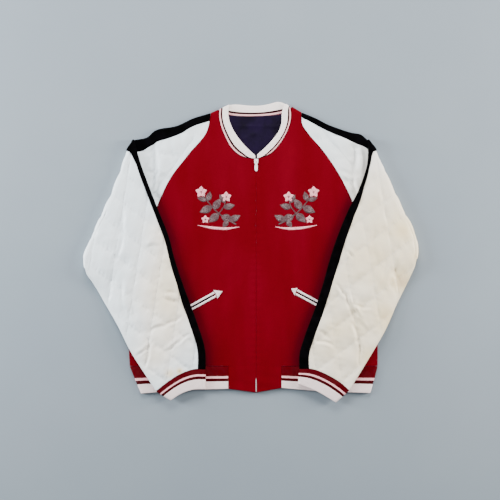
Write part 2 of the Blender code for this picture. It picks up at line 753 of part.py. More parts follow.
def panel_grid(side, half, rows, fractions, inner):
    """One face of a sleeve's front or back half, rounded down to the underarm seam."""
    s = np.array(rows)[:, None]
    width = sleeve_width(side, s[:, 0])[:, None]
    radius = SLEEVE_DEPTH / 2
    near = stripe_width(side, s) + STRIPE_GAP
    flat = near + (width - radius - near) * np.array(fractions)[None]
    angles = np.radians((30, 60, 90))[None]
    full = np.ones((len(rows), flat.shape[1] + 3))
    if not inner:
        across = np.concatenate([flat, np.broadcast_to(width - radius, (len(rows), 3))], axis=1)
        rows_of_s = np.broadcast_to(s, across.shape)
        xy = sleeve_xy(side, rows_of_s, across / width)
        full = quilting(side, unfolded(side, rows_of_s, xy))
        shown = rows_of_s <= 1 if half == "front" else rows_of_s > 1
        full = np.where(shown, full, 1)
        full[:, -3:] = 1
    sunk = SLEEVE_WALL if inner else QUILT_RELIEF * (1 - full)
    sunk = np.broadcast_to(sunk, full.shape)
    meet = radius - SEAM_GAP
    round_across = width - radius + (radius - sunk[:, -3:]) * np.sin(angles)
    round_depth = meet - (meet - sunk[:, -3:]) * np.cos(angles)
    across = np.concatenate([flat, round_across], axis=1)
    depth = np.concatenate([sunk[:, :-3], round_depth], axis=1)
    if half == "front":
        depth = SLEEVE_DEPTH - depth
    return lay(side, s, across, depth)


SHOULDER_ROWS = 8
ARM_ROWS = 20
TURN_ROWS = (1.25, 1.5, 1.75)


def rows_of(shoulder, arm):
    """Row positions: some up to the fold, three in the turn, and some from the fold to the cuff."""
    start = SEAM_GAP / (200 * MM)
    before = start + (1 - start) * np.linspace(0, 1, shoulder + 1)
    after = 2 + np.linspace(0, 1, arm + 1)
    return (*before, *TURN_ROWS, *after)


def make_sleeve_panel(side, half, material, target):
    rows = rows_of(SHOULDER_ROWS, ARM_ROWS)
    fractions = np.linspace(0, 1, 14)
    outer = panel_grid(side, half, rows, fractions, inner=False)
    inner = panel_grid(side, half, rows, fractions, inner=True)
    coarse_rows = [*range(0, SHOULDER_ROWS, 2), *range(SHOULDER_ROWS, len(rows))]
    coarse_columns = [0, 6, 13, 14, 15, 16]
    name = f"sleeve_{half}_{side}"
    return wall(name, outer, inner, material, target, rows=coarse_rows, columns=coarse_columns)


def stripe_grid(side, rows, sunk):
    """One face of the stripe, which wraps the crease from the back half's seam to the front half's."""
    radius = SLEEVE_DEPTH / 2
    bend = np.radians((-90, -45, 0, 45, 90))
    s = np.array(rows)[:, None]
    width = stripe_width(side, s)
    flat = np.concatenate([width, (width + radius) / 2], axis=1)
    rounded = np.broadcast_to(radius - (radius - sunk) * np.cos(bend), (len(rows), len(bend)))
    across = np.concatenate([flat, rounded, flat[:, ::-1]], axis=1)
    depth = np.concatenate([[sunk, sunk], radius + (radius - sunk) * np.sin(bend), [SLEEVE_DEPTH - sunk] * 2])
    return lay(side, s, across, np.broadcast_to(depth, across.shape))


def make_stripe(side, material, target):
    rows = rows_of(SHOULDER_ROWS, ARM_ROWS)
    outer = stripe_grid(side, rows, 0.0)
    inner = stripe_grid(side, rows, STRIPE_WALL)
    return wall(f"sleeve_stripe_{side}", outer, inner, material, target, row_step=1)


def make_cuff(side, material, target):
    """A flattened ring of rib: upper side, a turn at the underarm, lower side and a turn at the crease."""
    high = CUFF_DEPTH - RIB_WALL / 2
    low = RIB_WALL / 2
    radius = (high - low) / 2 + RIB_WALL / 2
    count = round((CUFF_WIDTH - 2 * radius) / RIB_PITCH)
    inset = radius / CUFF_WIDTH
    t = np.linspace(inset, 1 - inset, 2 * count + 1)
    seam = curve(CUFF_SEAM[side], t) + np.array((0, -2 * SEAM_GAP))
    edge = curve(CUFF_EDGE[side], t)
    outward = {}
    for name, here, there in (("crease", 0, 1), ("underarm", -1, -2)):
        step = seam[here] - seam[there]
        outward[name] = step / np.linalg.norm(step)
    under = turn(seam[-1], edge[-1], outward["underarm"], high, low)
    crease = turn(seam[0], edge[0], outward["crease"], high, low)
    back = slice(-6, 0, -5)
    seams = [at_height(seam, high), under[0][1:], at_height(seam[back], low), crease[0][:0:-1]]
    edges = [at_height(edge, high), under[1][1:], at_height(edge[back], low), crease[1][:0:-1]]
    seam, edge = np.concatenate(seams), np.concatenate(edges)
    seam[:, 2] += rest_height(seam[:, :2])
    edge[:, 2] += rest_height(edge[:, :2])
    up = np.zeros(len(seam))
    up[: 2 * count + 1] = ribs(count)
    return band(f"cuff_{side}", seam, edge, RIB_WALL, material, target, up=up, closed=True)


# ---- pockets and zip ----------------------------------------------------------------------------------


def make_welt(side, which, material, target):
    inner_end, outer_end = np.array(WELTS[side][which], float) * MM
    along = outer_end - inner_end
    square = np.array((-along[1], along[0])) / np.linalg.norm(along) * WELT_WIDTH / 2
    t = np.linspace(0, 1, 11)[:, None]
    line = inner_end + along * t
    z = front_top(line) + LAYER_GAP + WELT_RISE / 2
    name = f"pocket_{side}_{which}"
    return band(name, at_height(line - square, z), at_height(line + square, z), WELT_RISE, material, target)


def flat_curve(name, splines, thickness, material, target):
    """A flat shape cut to its outlines, the later ones holes, centred on its own height."""
    data = bpy.data.curves.new(name, "CURVE")
    data.dimensions = "2D"
    data.fill_mode = "BOTH"
    data.extrude = thickness / 2
    for outline in splines:
        spline = data.splines.new("POLY")
        spline.points.add(len(outline) - 1)
        for point, (x, y) in zip(spline.points, outline):
            point.co = (x, y, 0, 1)
        spline.use_cyclic_u = True
    data.materials.append(material)
    obj = bpy.data.objects.new(name, data)
    target.objects.link(obj)
    return obj


def make_arrowhead(side, material, target):
    outline = np.array(ARROWHEAD[side], float) * MM
    centre = outline.mean(axis=0)
    obj = flat_curve(f"pocket_{side}_arrowhead", [outline - centre], ARROWHEAD_RISE, material, target)
    height = front_top(outline).max() + LAYER_GAP + ARROWHEAD_RISE / 2
    obj.location = (*centre, height)
    return obj


def box(name, low, high, material, target, bevel=0.0):
    """A block between two corners."""
    mesh = bpy.data.meshes.new(name)
    build = bmesh.new()
    bmesh.ops.create_cube(build, size=1.0)
    low, high = np.array(low), np.array(high)
    for vertex in build.verts:
        vertex.co = (low + high) / 2 + np.array(vertex.co) * (high - low)
    build.to_mesh(mesh)
    build.free()
    obj = add_object(name, mesh, material, target)
    if bevel:
        rounding = obj.modifiers.new("rounded edges", "BEVEL")
        rounding.width = bevel
        rounding.segments = 1
    return obj


def make_zip_tape(side, material, target):
    sign = -1 if side == "right" else 1
    near = CENTRE_X + sign * SEAM_GAP
    far = CENTRE_X + sign * TAPE_WIDTH
    bottom = BODY_TOP - BODY_WALL - SEAM_GAP - TAPE_WALL
    low = (min(near, far), TAB_POINT_Y + 3 * MM, bottom)
    high = (max(near, far), NECK_POINT_Y - 2 * MM, bottom + TAPE_WALL)
    return box(f"zip_tape_{side}", low, high, material, target)


def make_zip_pin(material, target):
    """The pin and its box, which close the bottom of the zip between the two tabs."""
    bottom = BODY_TOP - BODY_WALL
    low = (CENTRE_X - PIN_WIDTH / 2, TAB_POINT_Y + 2 * MM, bottom)
    high = (CENTRE_X + PIN_WIDTH / 2, TAB_POINT_Y + 2 * MM + PIN_LENGTH, BODY_TOP + 0.2 * MM)
    return box("zip_box", low, high, material, target, bevel=0.5 * MM)


def make_slider(material, target, cutters):
    """A plate on a stem that runs between the fronts, with a low bridge that holds the pull tab."""
    top = SLIDER_BASE + SLIDER_PLATE
    half_length, half_width = SLIDER_LENGTH / 2, SLIDER_WIDTH / 2
    low = (CENTRE_X - half_width, SLIDER_Y - half_length, SLIDER_BASE)
    high = (CENTRE_X + half_width, SLIDER_Y + half_length, top)
    plate = box("zip_slider", low, high, material, target)
    stem_low = (CENTRE_X - STEM_WIDTH / 2, SLIDER_Y - half_length + MM, SLIDER_BASE - STEM_DEPTH)
    stem_high = (CENTRE_X + STEM_WIDTH / 2, SLIDER_Y + half_length - MM, SLIDER_BASE + SLIDER_PLATE / 2)
    stem = box("slider stem", stem_low, stem_high, material, cutters)
    angle = np.linspace(0, np.pi, 11)
    y = SLIDER_Y + np.cos(angle) * BRIDGE_SPAN / 2
    z = top - 0.4 * MM + np.sin(angle) ** 0.7 * BRIDGE_RISE
    left = np.stack([np.full(len(y), CENTRE_X - BRIDGE_BAR / 2), y, z], axis=1)
    right = left + np.array((BRIDGE_BAR, 0, 0))
    bridge = band("slider bridge", left, right, 0.7 * MM, material, cutters)
    for piece in (stem, bridge):
        piece.hide_render = True
        piece.display_type = "WIRE"
        join = plate.modifiers.new(piece.name, "BOOLEAN")
        join.operation = "UNION"
        join.object = piece
    return plate


def make_pull(material, target):
    """The pull tab. Its object's origin is on its hinge axis, and the bridge passes through its eye."""
    half_eye = 1.2 * MM
    shank = 2.3 * MM
    wide = 3.7 * MM
    head = 0.5 * MM
    tip = -PULL_LENGTH
    side = [(shank, head), (shank, -7 * MM), (wide, -12 * MM), (wide, tip + 4 * MM)]
    side += [(2.2 * MM, tip + MM), (0.8 * MM, tip)]
    outline = side + [(-x, y) for x, y in reversed(side)]
    eye = [(-half_eye, -0.5 * MM), (half_eye, -0.5 * MM), (half_eye, -4.5 * MM), (-half_eye, -4.5 * MM)]
    obj = flat_curve("zip_pull", [outline, eye], PULL_THICKNESS, material, target)
    obj.location = (CENTRE_X, SLIDER_Y, PULL_AXIS_Z)
    obj.rotation_euler = (PULL_TILT, 0, 0)
    return obj


def main():
    clear_scene()
    target = collection("souvenir_jacket")
    cutters = collection("cutters", hidden=True)
    velveteen = finish("red velveteen", VELVETEEN_RED, 0.85)
    satin = finish("white quilted satin", SATIN_WHITE, 0.38)
    velvet = finish("black velvet", VELVET_BLACK, 0.9)
    knit = finish("cream rib knit", RIB_CREAM, 0.9)
    lining = finish("purple lining satin", LINING_PURPLE, 0.45)
    piping = finish("white cord piping", PIPING_WHITE, 0.7)
    tape = finish("red zip tape", TAPE_RED, 0.9)
    nickel = finish("nickel-plated zinc", NICKEL, 0.25, 1.0)
    make_back(velveteen, target)
    make_back_lining(lining, target)
    make_collar(knit, target)
    make_hem(knit, target)
    for side in ("right", "left"):
        make_front(side, velveteen, target)
        make_hem_tab(side, velveteen, target)
        make_zip_tape(side, tape, target)
        for half in ("back", "front"):
            make_sleeve_panel(side, half, satin, target)
        make_stripe(side, velvet, target)
        make_cuff(side, knit, target)
        for which in ("upper_welt", "lower_welt"):
            make_welt(side, which, piping, target)
        make_arrowhead(side, piping, target)
    make_zip_pin(nickel, target)
    make_slider(nickel, target, cutters)
    make_pull(nickel, target)


main()
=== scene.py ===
"""Looks for a souvenir jacket laid flat on its back, zipped up, with its sleeves folded over the fronts.

Metres, +Z up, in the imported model's frame. "right" and "left" in names are the wearer's. Outlines are
tables in millimetres, and each is a smooth curve through its rows. A piece of cloth is a closed wall
between two grids of points, and a rib is a strip swept along its seam. A sleeve is a flattened tube: it
lies flat to its fold, turns over there and lies on the body as far as the cuff, and all of its layers take
the same turn at their own depth.
"""

import bpy
import numpy as np
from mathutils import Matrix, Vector
from mathutils.bvhtree import BVHTree


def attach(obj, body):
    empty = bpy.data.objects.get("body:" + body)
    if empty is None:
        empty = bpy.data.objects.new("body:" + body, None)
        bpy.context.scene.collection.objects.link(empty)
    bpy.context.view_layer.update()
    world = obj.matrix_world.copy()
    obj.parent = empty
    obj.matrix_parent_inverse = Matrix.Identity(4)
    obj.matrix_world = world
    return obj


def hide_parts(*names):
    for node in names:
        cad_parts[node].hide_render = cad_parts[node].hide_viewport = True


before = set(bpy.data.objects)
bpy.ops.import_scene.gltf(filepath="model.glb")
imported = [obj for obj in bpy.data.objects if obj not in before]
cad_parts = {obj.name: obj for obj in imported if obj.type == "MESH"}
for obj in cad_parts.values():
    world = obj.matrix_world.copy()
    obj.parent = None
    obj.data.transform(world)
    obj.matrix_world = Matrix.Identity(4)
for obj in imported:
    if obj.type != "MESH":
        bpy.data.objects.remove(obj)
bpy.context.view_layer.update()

MM = 0.001

# ---- sizes and outlines ------------------------------------------------------------------------------

SEAM_GAP = 0.4 * MM
RAGLAN_GAP = 0.1 * MM
STRIPE_GAP = 0.9 * MM
HEM_GAP = 1.0 * MM
BACK_HEM_RISE = 16 * MM
BODY_WALL = 2.8 * MM
BODY_TOP = 8.4 * MM
SIDE_ROLL = 2.4 * MM
SIDE_ROLL_WIDTH = 30 * MM
RIB_WALL = 2.8 * MM
RIB_LOW = RIB_WALL / 2  # middle of a rib that rests on the floor, and of one level with the fronts
RIB_HIGH = BODY_TOP - RIB_WALL / 2
SLEEVE_WALL = 4.2 * MM
SLEEVE_DEPTH = 9.2 * MM
QUILT_RELIEF = 3.4 * MM
QUILT_HIDDEN = 0.35  # share of that relief on the faces that rest on something
QUILT_EDGE = 14 * MM  # where the relief fades out beside the underarm seam
QUILT_PUCKER_REACH = 12 * MM
THINNEST_WADDING = 1.2 * MM
DEEPEST_CREASE = 5.2 * MM
QUILT_SPACING = 56 * MM
QUILT_ANGLE = np.radians(31)
STRIPE_WALL = 3.4 * MM
FOLD_INSIDE = 0.8 * MM
CORNER_PULL = 0.6
FOLDED_REST = SLEEVE_DEPTH + 2 * FOLD_INSIDE
FLOOR_GAP = 0.4 * MM
LOWEST = 0.05 * MM  # how far above the floor any cloth stays
DRAPE = 70 * MM
TOP_DRAPE = 130 * MM
CROWN_TOP = 5 * MM
CROWN_UNDER = 2 * MM
CUFF_DEPTH = 8.4 * MM
CUFF_WIDTH = 130 * MM
CENTRE_X = 10 * MM
NECK_POINT_Y = 219 * MM
HEM_SEAM_Y = -275 * MM
ZIP_PUCKER_REACH = 13 * MM
ZIP_PUCKER_LENGTH = 17 * MM
# Painted shadow on the fronts beside each folded sleeve's edge: how far it reaches and how dark it gets.
SLEEVE_SHADOW_REACH = 15 * MM  # from the folded sleeve's edge over the front
SLEEVE_SHADOW_DARKEST = 0.62
TAB_EDGE_X = {"right": -57 * MM, "left": 71 * MM}
TAB_SIDE_Y = {"right": -330 * MM, "left": -328 * MM}
TAB_POINT_Y = -339 * MM
SLIDER_Y = 217 * MM
LINING_PLEAT_Y = 299 * MM
TAPE_MIDDLE_Z = 4.7 * MM
TAPE_WALL = 0.9 * MM
TAPE_REACH = 15 * MM  # from the middle of the zip to a tape's outer edge

# Spacing of the points on each kind of piece.
FRONT_GRID = 3.8 * MM
BACK_GRID = 8 * MM
LINING_GRID = 2.2 * MM
TAB_GRID = 2 * MM
SLEEVE_ROW_GRID = 3.2 * MM
SLEEVE_COLUMN_GRID = 3.6 * MM

SIDES = {"right": -1, "left": 1}

RAGLAN = {
    "right": ((-99, 333), (-107, 292), (-152, 234), (-196, 176), (-228, 109), (-264, 16)),
    "left": (
        (119, 334.5), (120, 308), (137, 281), (165, 249), (193, 211), (218, 169), (241, 120), (274, 16),
    ),
}
NECK_CORNER = {"right": (-81, 341), "left": (96, 348)}
NECK_SEAM = {
    "right": ((-80, 336), (-77, 312), (-65, 278), (-45, 244), (-25, 229), (7.6, 223)),
    "left": ((94, 340), (93, 315), (84, 288), (66, 258), (44, 235), (12.4, 223.5)),
}
BACK_NECK_SEAM = ((-70, 333), (-56, 329), (-20, 326), (10, 326), (45, 328), (70, 332), (84, 337))
SIDE_SEAM = {
    "right": ((-264, 16), (-279, -60), (-288, -150), (-296, -225), (-294, -275)),
    "left": ((274, 16), (285, -60), (294, -150), (302, -225), (302, -275)),
}
SHOULDER_CREASE = {
    "right": ((-99, 333), (-143, 319.5), (-178, 303), (-237, 288), (-250, 276), (-283, 268)),
    "left": ((119, 334.5), (153, 320.5), (181, 306), (210, 295), (238, 286), (262, 281), (278, 268)),
}
UPPER_UNDERARM = {
    "right": ((-264, 16), (-330, -8), (-400, -40)),
    "left": ((274, 16), (338, 5), (394, -18)),
}
SLEEVE_FOLD = {  # nearly straight, and round the elbow in the last rows
    "right": ((-283, 268), (-337, 119), (-365, 62), (-390, 5), (-398, -20), (-400, -40)),
    "left": ((278, 268), (344, 119.5), (358, 90), (375, 62), (387, 33), (392.5, 4), (394, -18)),
}
ARM_CREASE = {
    "right": (
        (-283, 268), (-267, 212), (-245, 152), (-223, 95), (-200, 37), (-185, -20), (-165, -80),
        (-134, -164), (-112, -240), (-111, -282),
    ),
    "left": (
        (278, 268), (276, 212), (257, 152), (229, 95), (205, 37), (186, -20), (170, -78), (151, -136),
        (126, -204), (114, -245), (113, -281),
    ),
}
ARM_UNDERARM = {
    "right": (
        (-400, -40), (-396, -54), (-383, -74), (-353, -126), (-319, -184), (-290, -241), (-253, -299),
        (-230, -334),
    ),
    "left": (
        (394, -18), (390, -36), (382, -56), (346, -131), (322, -184), (289, -241), (254, -299),
        (233, -332),
    ),
}
CUFF_SEAM = {
    "right": ((-111, -282), (-130, -281), (-171, -293), (-200, -311), (-230, -334)),
    "left": ((113, -281), (132, -280), (188, -299), (213, -315), (233, -332)),
}
CUFF_EDGE = {
    "right": ((-113, -329), (-143, -331), (-171, -341), (-194, -356)),
    "left": ((112, -317), (156, -335), (200, -361)),
}
# The stripe on each side of its crease: row position along the sleeve, width in millimetres. On the folded
# stretch, rows 2 to 3, the widths also take in the shade beside the folded edge, so part of that black
# velvet is painted shadow.
STRIPE_AND_SHADOW_WIDTH = {
    "right": (
        (0, 18), (0.15, 19), (0.35, 24), (0.45, 24.5), (0.58, 29), (0.64, 32), (0.68, 38), (0.74, 38),
        (0.83, 33), (1, 31), (2, 30), (2.03, 23), (2.08, 16), (2.3, 14), (2.62, 15), (2.7, 19), (3, 17),
    ),
    "left": (
        (0, 10), (0.2, 15), (0.55, 18), (0.65, 21), (0.8, 29), (0.9, 34), (1, 33), (2, 30), (2.04, 19),
        (2.1, 11), (2.18, 12), (2.25, 19), (2.35, 24), (2.5, 27), (2.62, 23), (3, 22),
    ),
}
HEM_EDGE = {
    "right": ((-57, -330), (-150, -333), (-263, -341)),
    "left": ((71, -328), (170, -336), (280, -340)),
}
LINING_TOP = ((-66, 329.5), (-56, 327.8), (-20, 325.2), (10, 325.2), (45, 327), (70, 330.5), (80, 333.5))
LINING_EDGE = {
    "right": ((-66, 329.5), (-63, 290), (-42, 240), (-22, 200)),
    "left": ((80, 333.5), (79, 290), (54, 240), (34, 200)),
}
COLLAR_EDGE = {
    "right": ((-58, 338), (-55, 316), (-45, 292), (-29, 268), (-13, 250), (7.6, 231)),
    "left": ((71, 340), (71, 310), (66, 292), (52, 272), (34, 252), (12.4, 233)),
}
BACK_COLLAR_EDGE = ((-49, 354), (-37, 354), (-5, 351), (18, 351), (46, 356), (64, 361), (76, 358))
COLLAR_TURN = {"right": (-76, 341, -53, 352), "left": (90, 345, 79, 354)}
QUILT_CORNER = {"right": (-328, -8), "left": (336, -6)}
SLEEVE_AXIS = {"right": (0.375, -0.927), "left": (-0.368, -0.930)}
WELT_HALF = 2.5 * MM
WELT_WALL = 1.3 * MM
WELTS = {
    "right": {
        "upper_welt": ((-90.6, -98.8), (-220, -169.5)),
        "lower_welt": ((-86.7, -107.1), (-216, -177.5)),
    },
    "left": {
        "upper_welt": ((108.4, -93.3), (234, -160.3)),
        "lower_welt": ((105.6, -102.1), (230, -168.3)),
    },
}
ARROWHEAD = {  # barb, tip, barb, notch
    "right": ((-92.6, -92.6), (-70.7, -95.4), (-83, -113.3), (-86.8, -102.6)),
    "left": ((109.2, -87.8), (94, -89.2), (103, -106.5), (105.2, -97)),
}

# Soft folds: x and y of the two ends, half width and height, all in millimetres.
ARM_FOLDS = {
    "right": (
        (-252, 18, -222, 48, 9, 1.6), (-206, -103, -182, -112, 7, 1.8), (-240, -189, -172, -160, 9, -2.0),
        (-276, -260, -246, -220, 10, 1.8), (-200, -236, -152, -200, 8, 1.6), (-372, 52, -346, 90, 10, -1.6),
    ),
    "left": (
        (226, 0, 243, -14, 7, 1.4), (204, -84, 257, -160, 9, 1.8), (154, -212, 192, -226, 8, -1.8),
        (242, -128, 283, -134, 8, 1.6), (228, -104, 252, -216, 10, 1.5),
    ),
}
SHOULDER_FOLDS = {
    "right": (
        (-236, 250, -232, 122, 9, -0.7), (-252, 188, -206, 190, 8, 1.2), (-180, 270, -166, 236, 14, 1.2),
        (-214, 262, -206, 150, 12, 1.1),
    ),
    "left": (
        (244, 250, 252, 146, 9, -0.7), (262, 240, 268, 160, 8, 1.1), (214, 182, 238, 184, 8, 1.2),
        (190, 262, 222, 196, 14, 1.2),
    ),
}
BODY_FOLDS = (
    (-48, 10, -120, -190, 16, 0.9), (60, 40, 118, -150, 16, 0.8), (-100, 250, -70, 130, 14, 0.8),
    (98, 240, 84, 120, 14, 0.8), (-60, -120, -20, -250, 18, 0.7),
)
LINING_FOLDS = (
    (-40, 300, 74, 300, 4, 0.7), (-22, 270, 16, 287, 4, 0.6),
)

# Creases that only show close to: the same columns, on each sleeve's folded stretch and on its shoulder.
ARM_CREASES = {
    "right": (
        (-252, 11, -221, 16, 3.0, -1.1), (-240, 42, -221, 47, 3.0, -0.9),
        (-211, -107, -182, -124, 3.2, -1.5), (-206, -96, -180, -101, 3.0, -1.2),
        (-240, -188, -205, -174, 3.5, -1.4), (-205, -174, -170, -157, 3.0, -1.5),
        (-202, -236, -175, -217, 3.5, -1.3), (-175, -217, -151, -198, 3.0, -1.4),
        (-276, -256, -245, -222, 3.5, -1.4), (-262, -287, -245, -217, 4.0, -1.3),
        (-374, 61, -350, 90, 3.5, -1.3), (-365, 32, -336, 37, 3.5, -0.9),
        (-318, -70, -300, -150, 5.0, -1.1), (-286, -120, -262, -196, 5.0, -0.9),
        (-300, 90, -330, -20, 5.0, -0.9),
    ),
    "left": (
        (226, 1, 242, -13, 3.0, -1.3), (202, -80, 228, -107, 3.5, -1.4), (228, -107, 257, -162, 3.5, -1.6),
        (154, -212, 192, -224, 3.0, -1.7), (160, -190, 186, -206, 3.5, -0.9),
        (242, -128, 283, -133, 3.2, -1.3), (228, -102, 242, -172, 4.0, -1.3),
        (242, -172, 252, -217, 4.0, -1.2), (252, -217, 262, -277, 4.0, -1.4),
        (246, -120, 272, -180, 4.5, 1.2), (330, -20, 300, -96, 5.0, -0.9), (366, 10, 336, -60, 5.0, -0.9),
        (286, 60, 300, -20, 5.0, -0.8),
    ),
}
SHOULDER_CREASES = {
    "right": (
        (-235, 212, -235, 160, 4.0, -4.8), (-252, 191, -224, 189, 3.8, -4.4),
        (-232, 266, -233, 206, 6.0, -3.2), (-222, 250, -220, 176, 8.0, 2.0),
        (-180, 280, -164, 240, 7.0, -2.6), (-198, 268, -186, 214, 6.0, -2.0),
        (-246, 152, -220, 124, 4.0, -3.6), (-222, 164, -238, 132, 4.0, -3.2),
        (-146, 292, -142, 262, 6.0, -1.4),
    ),
    "left": (
        (246, 250, 245, 190, 5.5, -5.4), (214, 189, 256, 186, 3.8, -4.6), (244, 174, 250, 132, 4.2, -4.8),
        (240, 251, 257, 247, 3.8, -4.2), (256, 236, 266, 170, 6.0, 2.2), (224, 170, 242, 158, 3.8, -2.8),
        (182, 280, 196, 236, 8.0, -1.6),
    ),
}
# Yellowing on the satin: x, y, reach in millimetres, and strength from clean to rust.
STAINS = {
    "right": (
        (-206, 40, 46, 0.4), (-196, -40, 60, 0.5), (-222, -110, 56, 0.45), (-170, -110, 50, 0.35),
        (-196, -190, 60, 0.4), (-236, -250, 44, 0.35), (-173, -286, 8, 0.95), (-196, -292, 12, 0.6),
    ),
    "left": (
        (404, -8, 34, 0.72), (380, 40, 44, 0.5), (372, -76, 44, 0.62), (330, -160, 36, 0.6),
        (286, -250, 30, 0.5), (300, 20, 170, 0.55), (250, -150, 170, 0.5), (200, -260, 110, 0.45),
        (330, 150, 120, 0.35),
    ),
}


# ---- curves and heights -------------------------------------------------------------------------------


def run_of(points):
    """Length from the first point of a chain to each of its points."""
    return np.concatenate([[0], np.cumsum(np.linalg.norm(np.diff(points, axis=0), axis=1))])


def hermite(points, slope, run, at):
    """Places at the lengths at on a smooth curve: between two points, the cubic with both their slopes."""
    i = np.clip(np.searchsorted(run, at, side="right") - 1, 0, len(run) - 2)
    step = (run[i + 1] - run[i])[..., None]
    f = (at - run[i])[..., None] / step
    start = (1 + 2 * f) * (1 - f) ** 2 * points[i] + f * (1 - f) ** 2 * step * slope[i]
    return start + f**2 * (3 - 2 * f) * points[i + 1] - f**2 * (1 - f) * step * slope[i + 1]


def curve(knots, t):
    """Points at t, from 0 to 1 by length, on a smooth curve through the knots, which are in millimetres."""
    knots = np.array(knots, float) * MM
    run = run_of(knots)
    at = np.clip(np.asarray(t, float), 0, 1) * run[-1]
    return hermite(knots, np.gradient(knots, run, axis=0), run, at)


def patch(first, last, start, end, u, v):
    """Points at u, v between four curves: first and last run along u, start and end along v."""
    u = np.broadcast_to(u, np.broadcast(u, v).shape)
    v = np.broadcast_to(v, u.shape)
    a, b = u[..., None], v[..., None]
    sides = (1 - b) * curve(first, u) + b * curve(last, u) + (1 - a) * curve(start, v) + a * curve(end, v)
    zero, one = np.zeros_like(u), np.ones_like(u)
    near = (1 - b) * curve(first, zero) + b * curve(last, zero)
    far = (1 - b) * curve(first, one) + b * curve(last, one)
    return sides - (1 - a) * near - a * far


def between(first, last, start, end, u, v):
    """Like patch, between four rows of points that already have the grid's spacing."""
    a, b = u[:, None, None], v[None, :, None]
    sides = (1 - b) * first[:, None] + b * last[:, None] + (1 - a) * start[None] + a * end[None]
    near = (1 - b) * first[0] + b * last[0]
    far = (1 - b) * first[-1] + b * last[-1]
    return sides - (1 - a) * near - a * far


def along(points, t):
    """Points at t, from 0 to 1 by length, on a chain of straight runs."""
    run = run_of(points)
    return np.stack([np.interp(t * run[-1], run, column) for column in points.T], axis=1)


def length_of(points):
    """Length of a whole chain of points."""
    return run_of(points)[-1]


def smooth(t):
    """An even rise from 0 to 1 with level ends."""
    t = np.clip(t, 0, 1)
    return t * t * (3 - 2 * t)


def beside(line, xy):
    """A line's length, its ends being in millimetres, and how far along and across it each point lies."""
    foot, end = np.array(line, float).reshape(2, 2) * MM
    length = np.linalg.norm(end - foot)
    reach = (end - foot) / length
    offset = xy - foot
    return length, offset @ reach, offset[..., 0] * reach[1] - offset[..., 1] * reach[0]


def fading(run, length, share):
    """1 along a line, falling to 0 over that share of its length past and before each end."""
    reach = 2 * share * length
    return smooth((run + share * length) / reach) * smooth((length * (1 + share) - run) / reach)


def folds(table, xy):
    """Height of the soft folds at xy: a rounded ridge, or a trough, that fades at both ends."""
    total = np.zeros(xy.shape[:-1])
    for *line, half_width, height in table:
        length, run, across = beside(line, xy)
        total += height * MM * fading(run, length, 0.2) * np.exp(-((across / (half_width * MM)) ** 2))
    return total


def creases(table, xy):
    """Like folds, but each line wanders a little and its trough has a soft ridge pushed up on one side."""
    total = np.zeros(xy.shape[:-1])
    for row, (*line, half_width, height) in enumerate(table):
        length, run, across = beside(line, xy)
        wander = 0.06 * length * np.sin(run / length * 4.2 + row * 1.7)
        across = (across + wander) / (half_width * MM)
        side = 1 if row % 2 else -1
        trough = np.exp(-(across**2)) - 0.5 * np.exp(-((across / 1.5 - side * 1.3) ** 2))
        total += height * MM * fading(run, length, 0.25) * trough
    return total


def ripples(xy, length, seed, count=9):
    """Uneven low waves about that long, from a fixed set of crossed sines, between about -1 and 1."""
    random = np.random.default_rng(seed)
    total = np.zeros(xy.shape[:-1])
    for _ in range(count):
        angle = random.uniform(0, np.pi)
        size = length * random.uniform(0.6, 1.7)
        phase = random.uniform(0, 2 * np.pi)
        total += np.sin(2 * np.pi * (xy @ np.array((np.cos(angle), np.sin(angle)))) / size + phase)
    return total / np.sqrt(count) / 1.4


def outside(xy, outline):
    """How far each point lies outside a closed outline, and 0 inside it."""
    flat = xy.reshape(-1, 2)
    gap = np.full(len(flat), np.inf)
    inside = np.zeros(len(flat), bool)
    for start, end in zip(outline, np.roll(outline, -1, axis=0)):
        edge = end - start
        offset = flat - start
        t = np.clip(offset @ edge / max(edge @ edge, 1e-12), 0, 1)
        gap = np.minimum(gap, ((offset - t[:, None] * edge) ** 2).sum(1))
        if start[1] != end[1]:
            spans = (start[1] > flat[:, 1]) != (end[1] > flat[:, 1])
            inside ^= spans & (offset[:, 0] < offset[:, 1] * edge[0] / edge[1])
    return np.where(inside, 0, np.sqrt(gap)).reshape(xy.shape[:-1])


def body_outline():
    """The body with its hem, as one closed outline."""
    t = np.linspace(0, 1, 17)
    corner = np.array((NECK_CORNER["right"], NECK_CORNER["left"])) * MM
    edges = {}
    for side in SIDES:
        hem = curve(HEM_EDGE[side], t)[::-1]
        edges[side] = np.concatenate([curve(RAGLAN[side], t), curve(SIDE_SEAM[side], t), hem])
    return np.concatenate([corner[:1], edges["right"], edges["left"][::-1], corner[1:]])


def shoulder_outline(side):
    """The stretch of a sleeve that lies unfolded beside the body."""
    t = np.linspace(0, 1, 17)
    top = curve(SHOULDER_CREASE[side], t)
    under = curve(UPPER_UNDERARM[side], t)
    return np.concatenate([top, under[::-1], curve(RAGLAN[side], t)[::-1]])


def arm_outline(side):
    """The folded stretch of a sleeve, seen from above."""
    t = np.linspace(0, 1, 33)
    tables = (ARM_CREASE, CUFF_SEAM, ARM_UNDERARM, SLEEVE_FOLD)
    crease, cuff, under, fold = (curve(table[side], t) for table in tables)
    return np.concatenate([crease, cuff, under[::-1], fold[::-1]])


SUPPORTS = (body_outline(), shoulder_outline("right"), shoulder_outline("left"))


def past_support(xy):
    """How far each point lies past the edges of the body and of the shoulders."""
    return np.min([outside(xy, outline) for outline in SUPPORTS], axis=0)


def draped(past, run):
    """Height of what a folded sleeve lies on: full on the body, then down to the floor over that run."""
    return FLOOR_GAP + (FOLDED_REST - FLOOR_GAP) * (1 - smooth(past / run))


def rest_height(xy):
    """Height of what a cuff lies on."""
    return draped(past_support(xy), DRAPE)


def stripe_and_shadow_width(side, s):
    """The stripe's width at each row, on each side of its crease, with the part that is painted shadow."""
    rows, widths = np.array(STRIPE_AND_SHADOW_WIDTH[side], float).T
    return np.interp(s, rows, widths) * MM


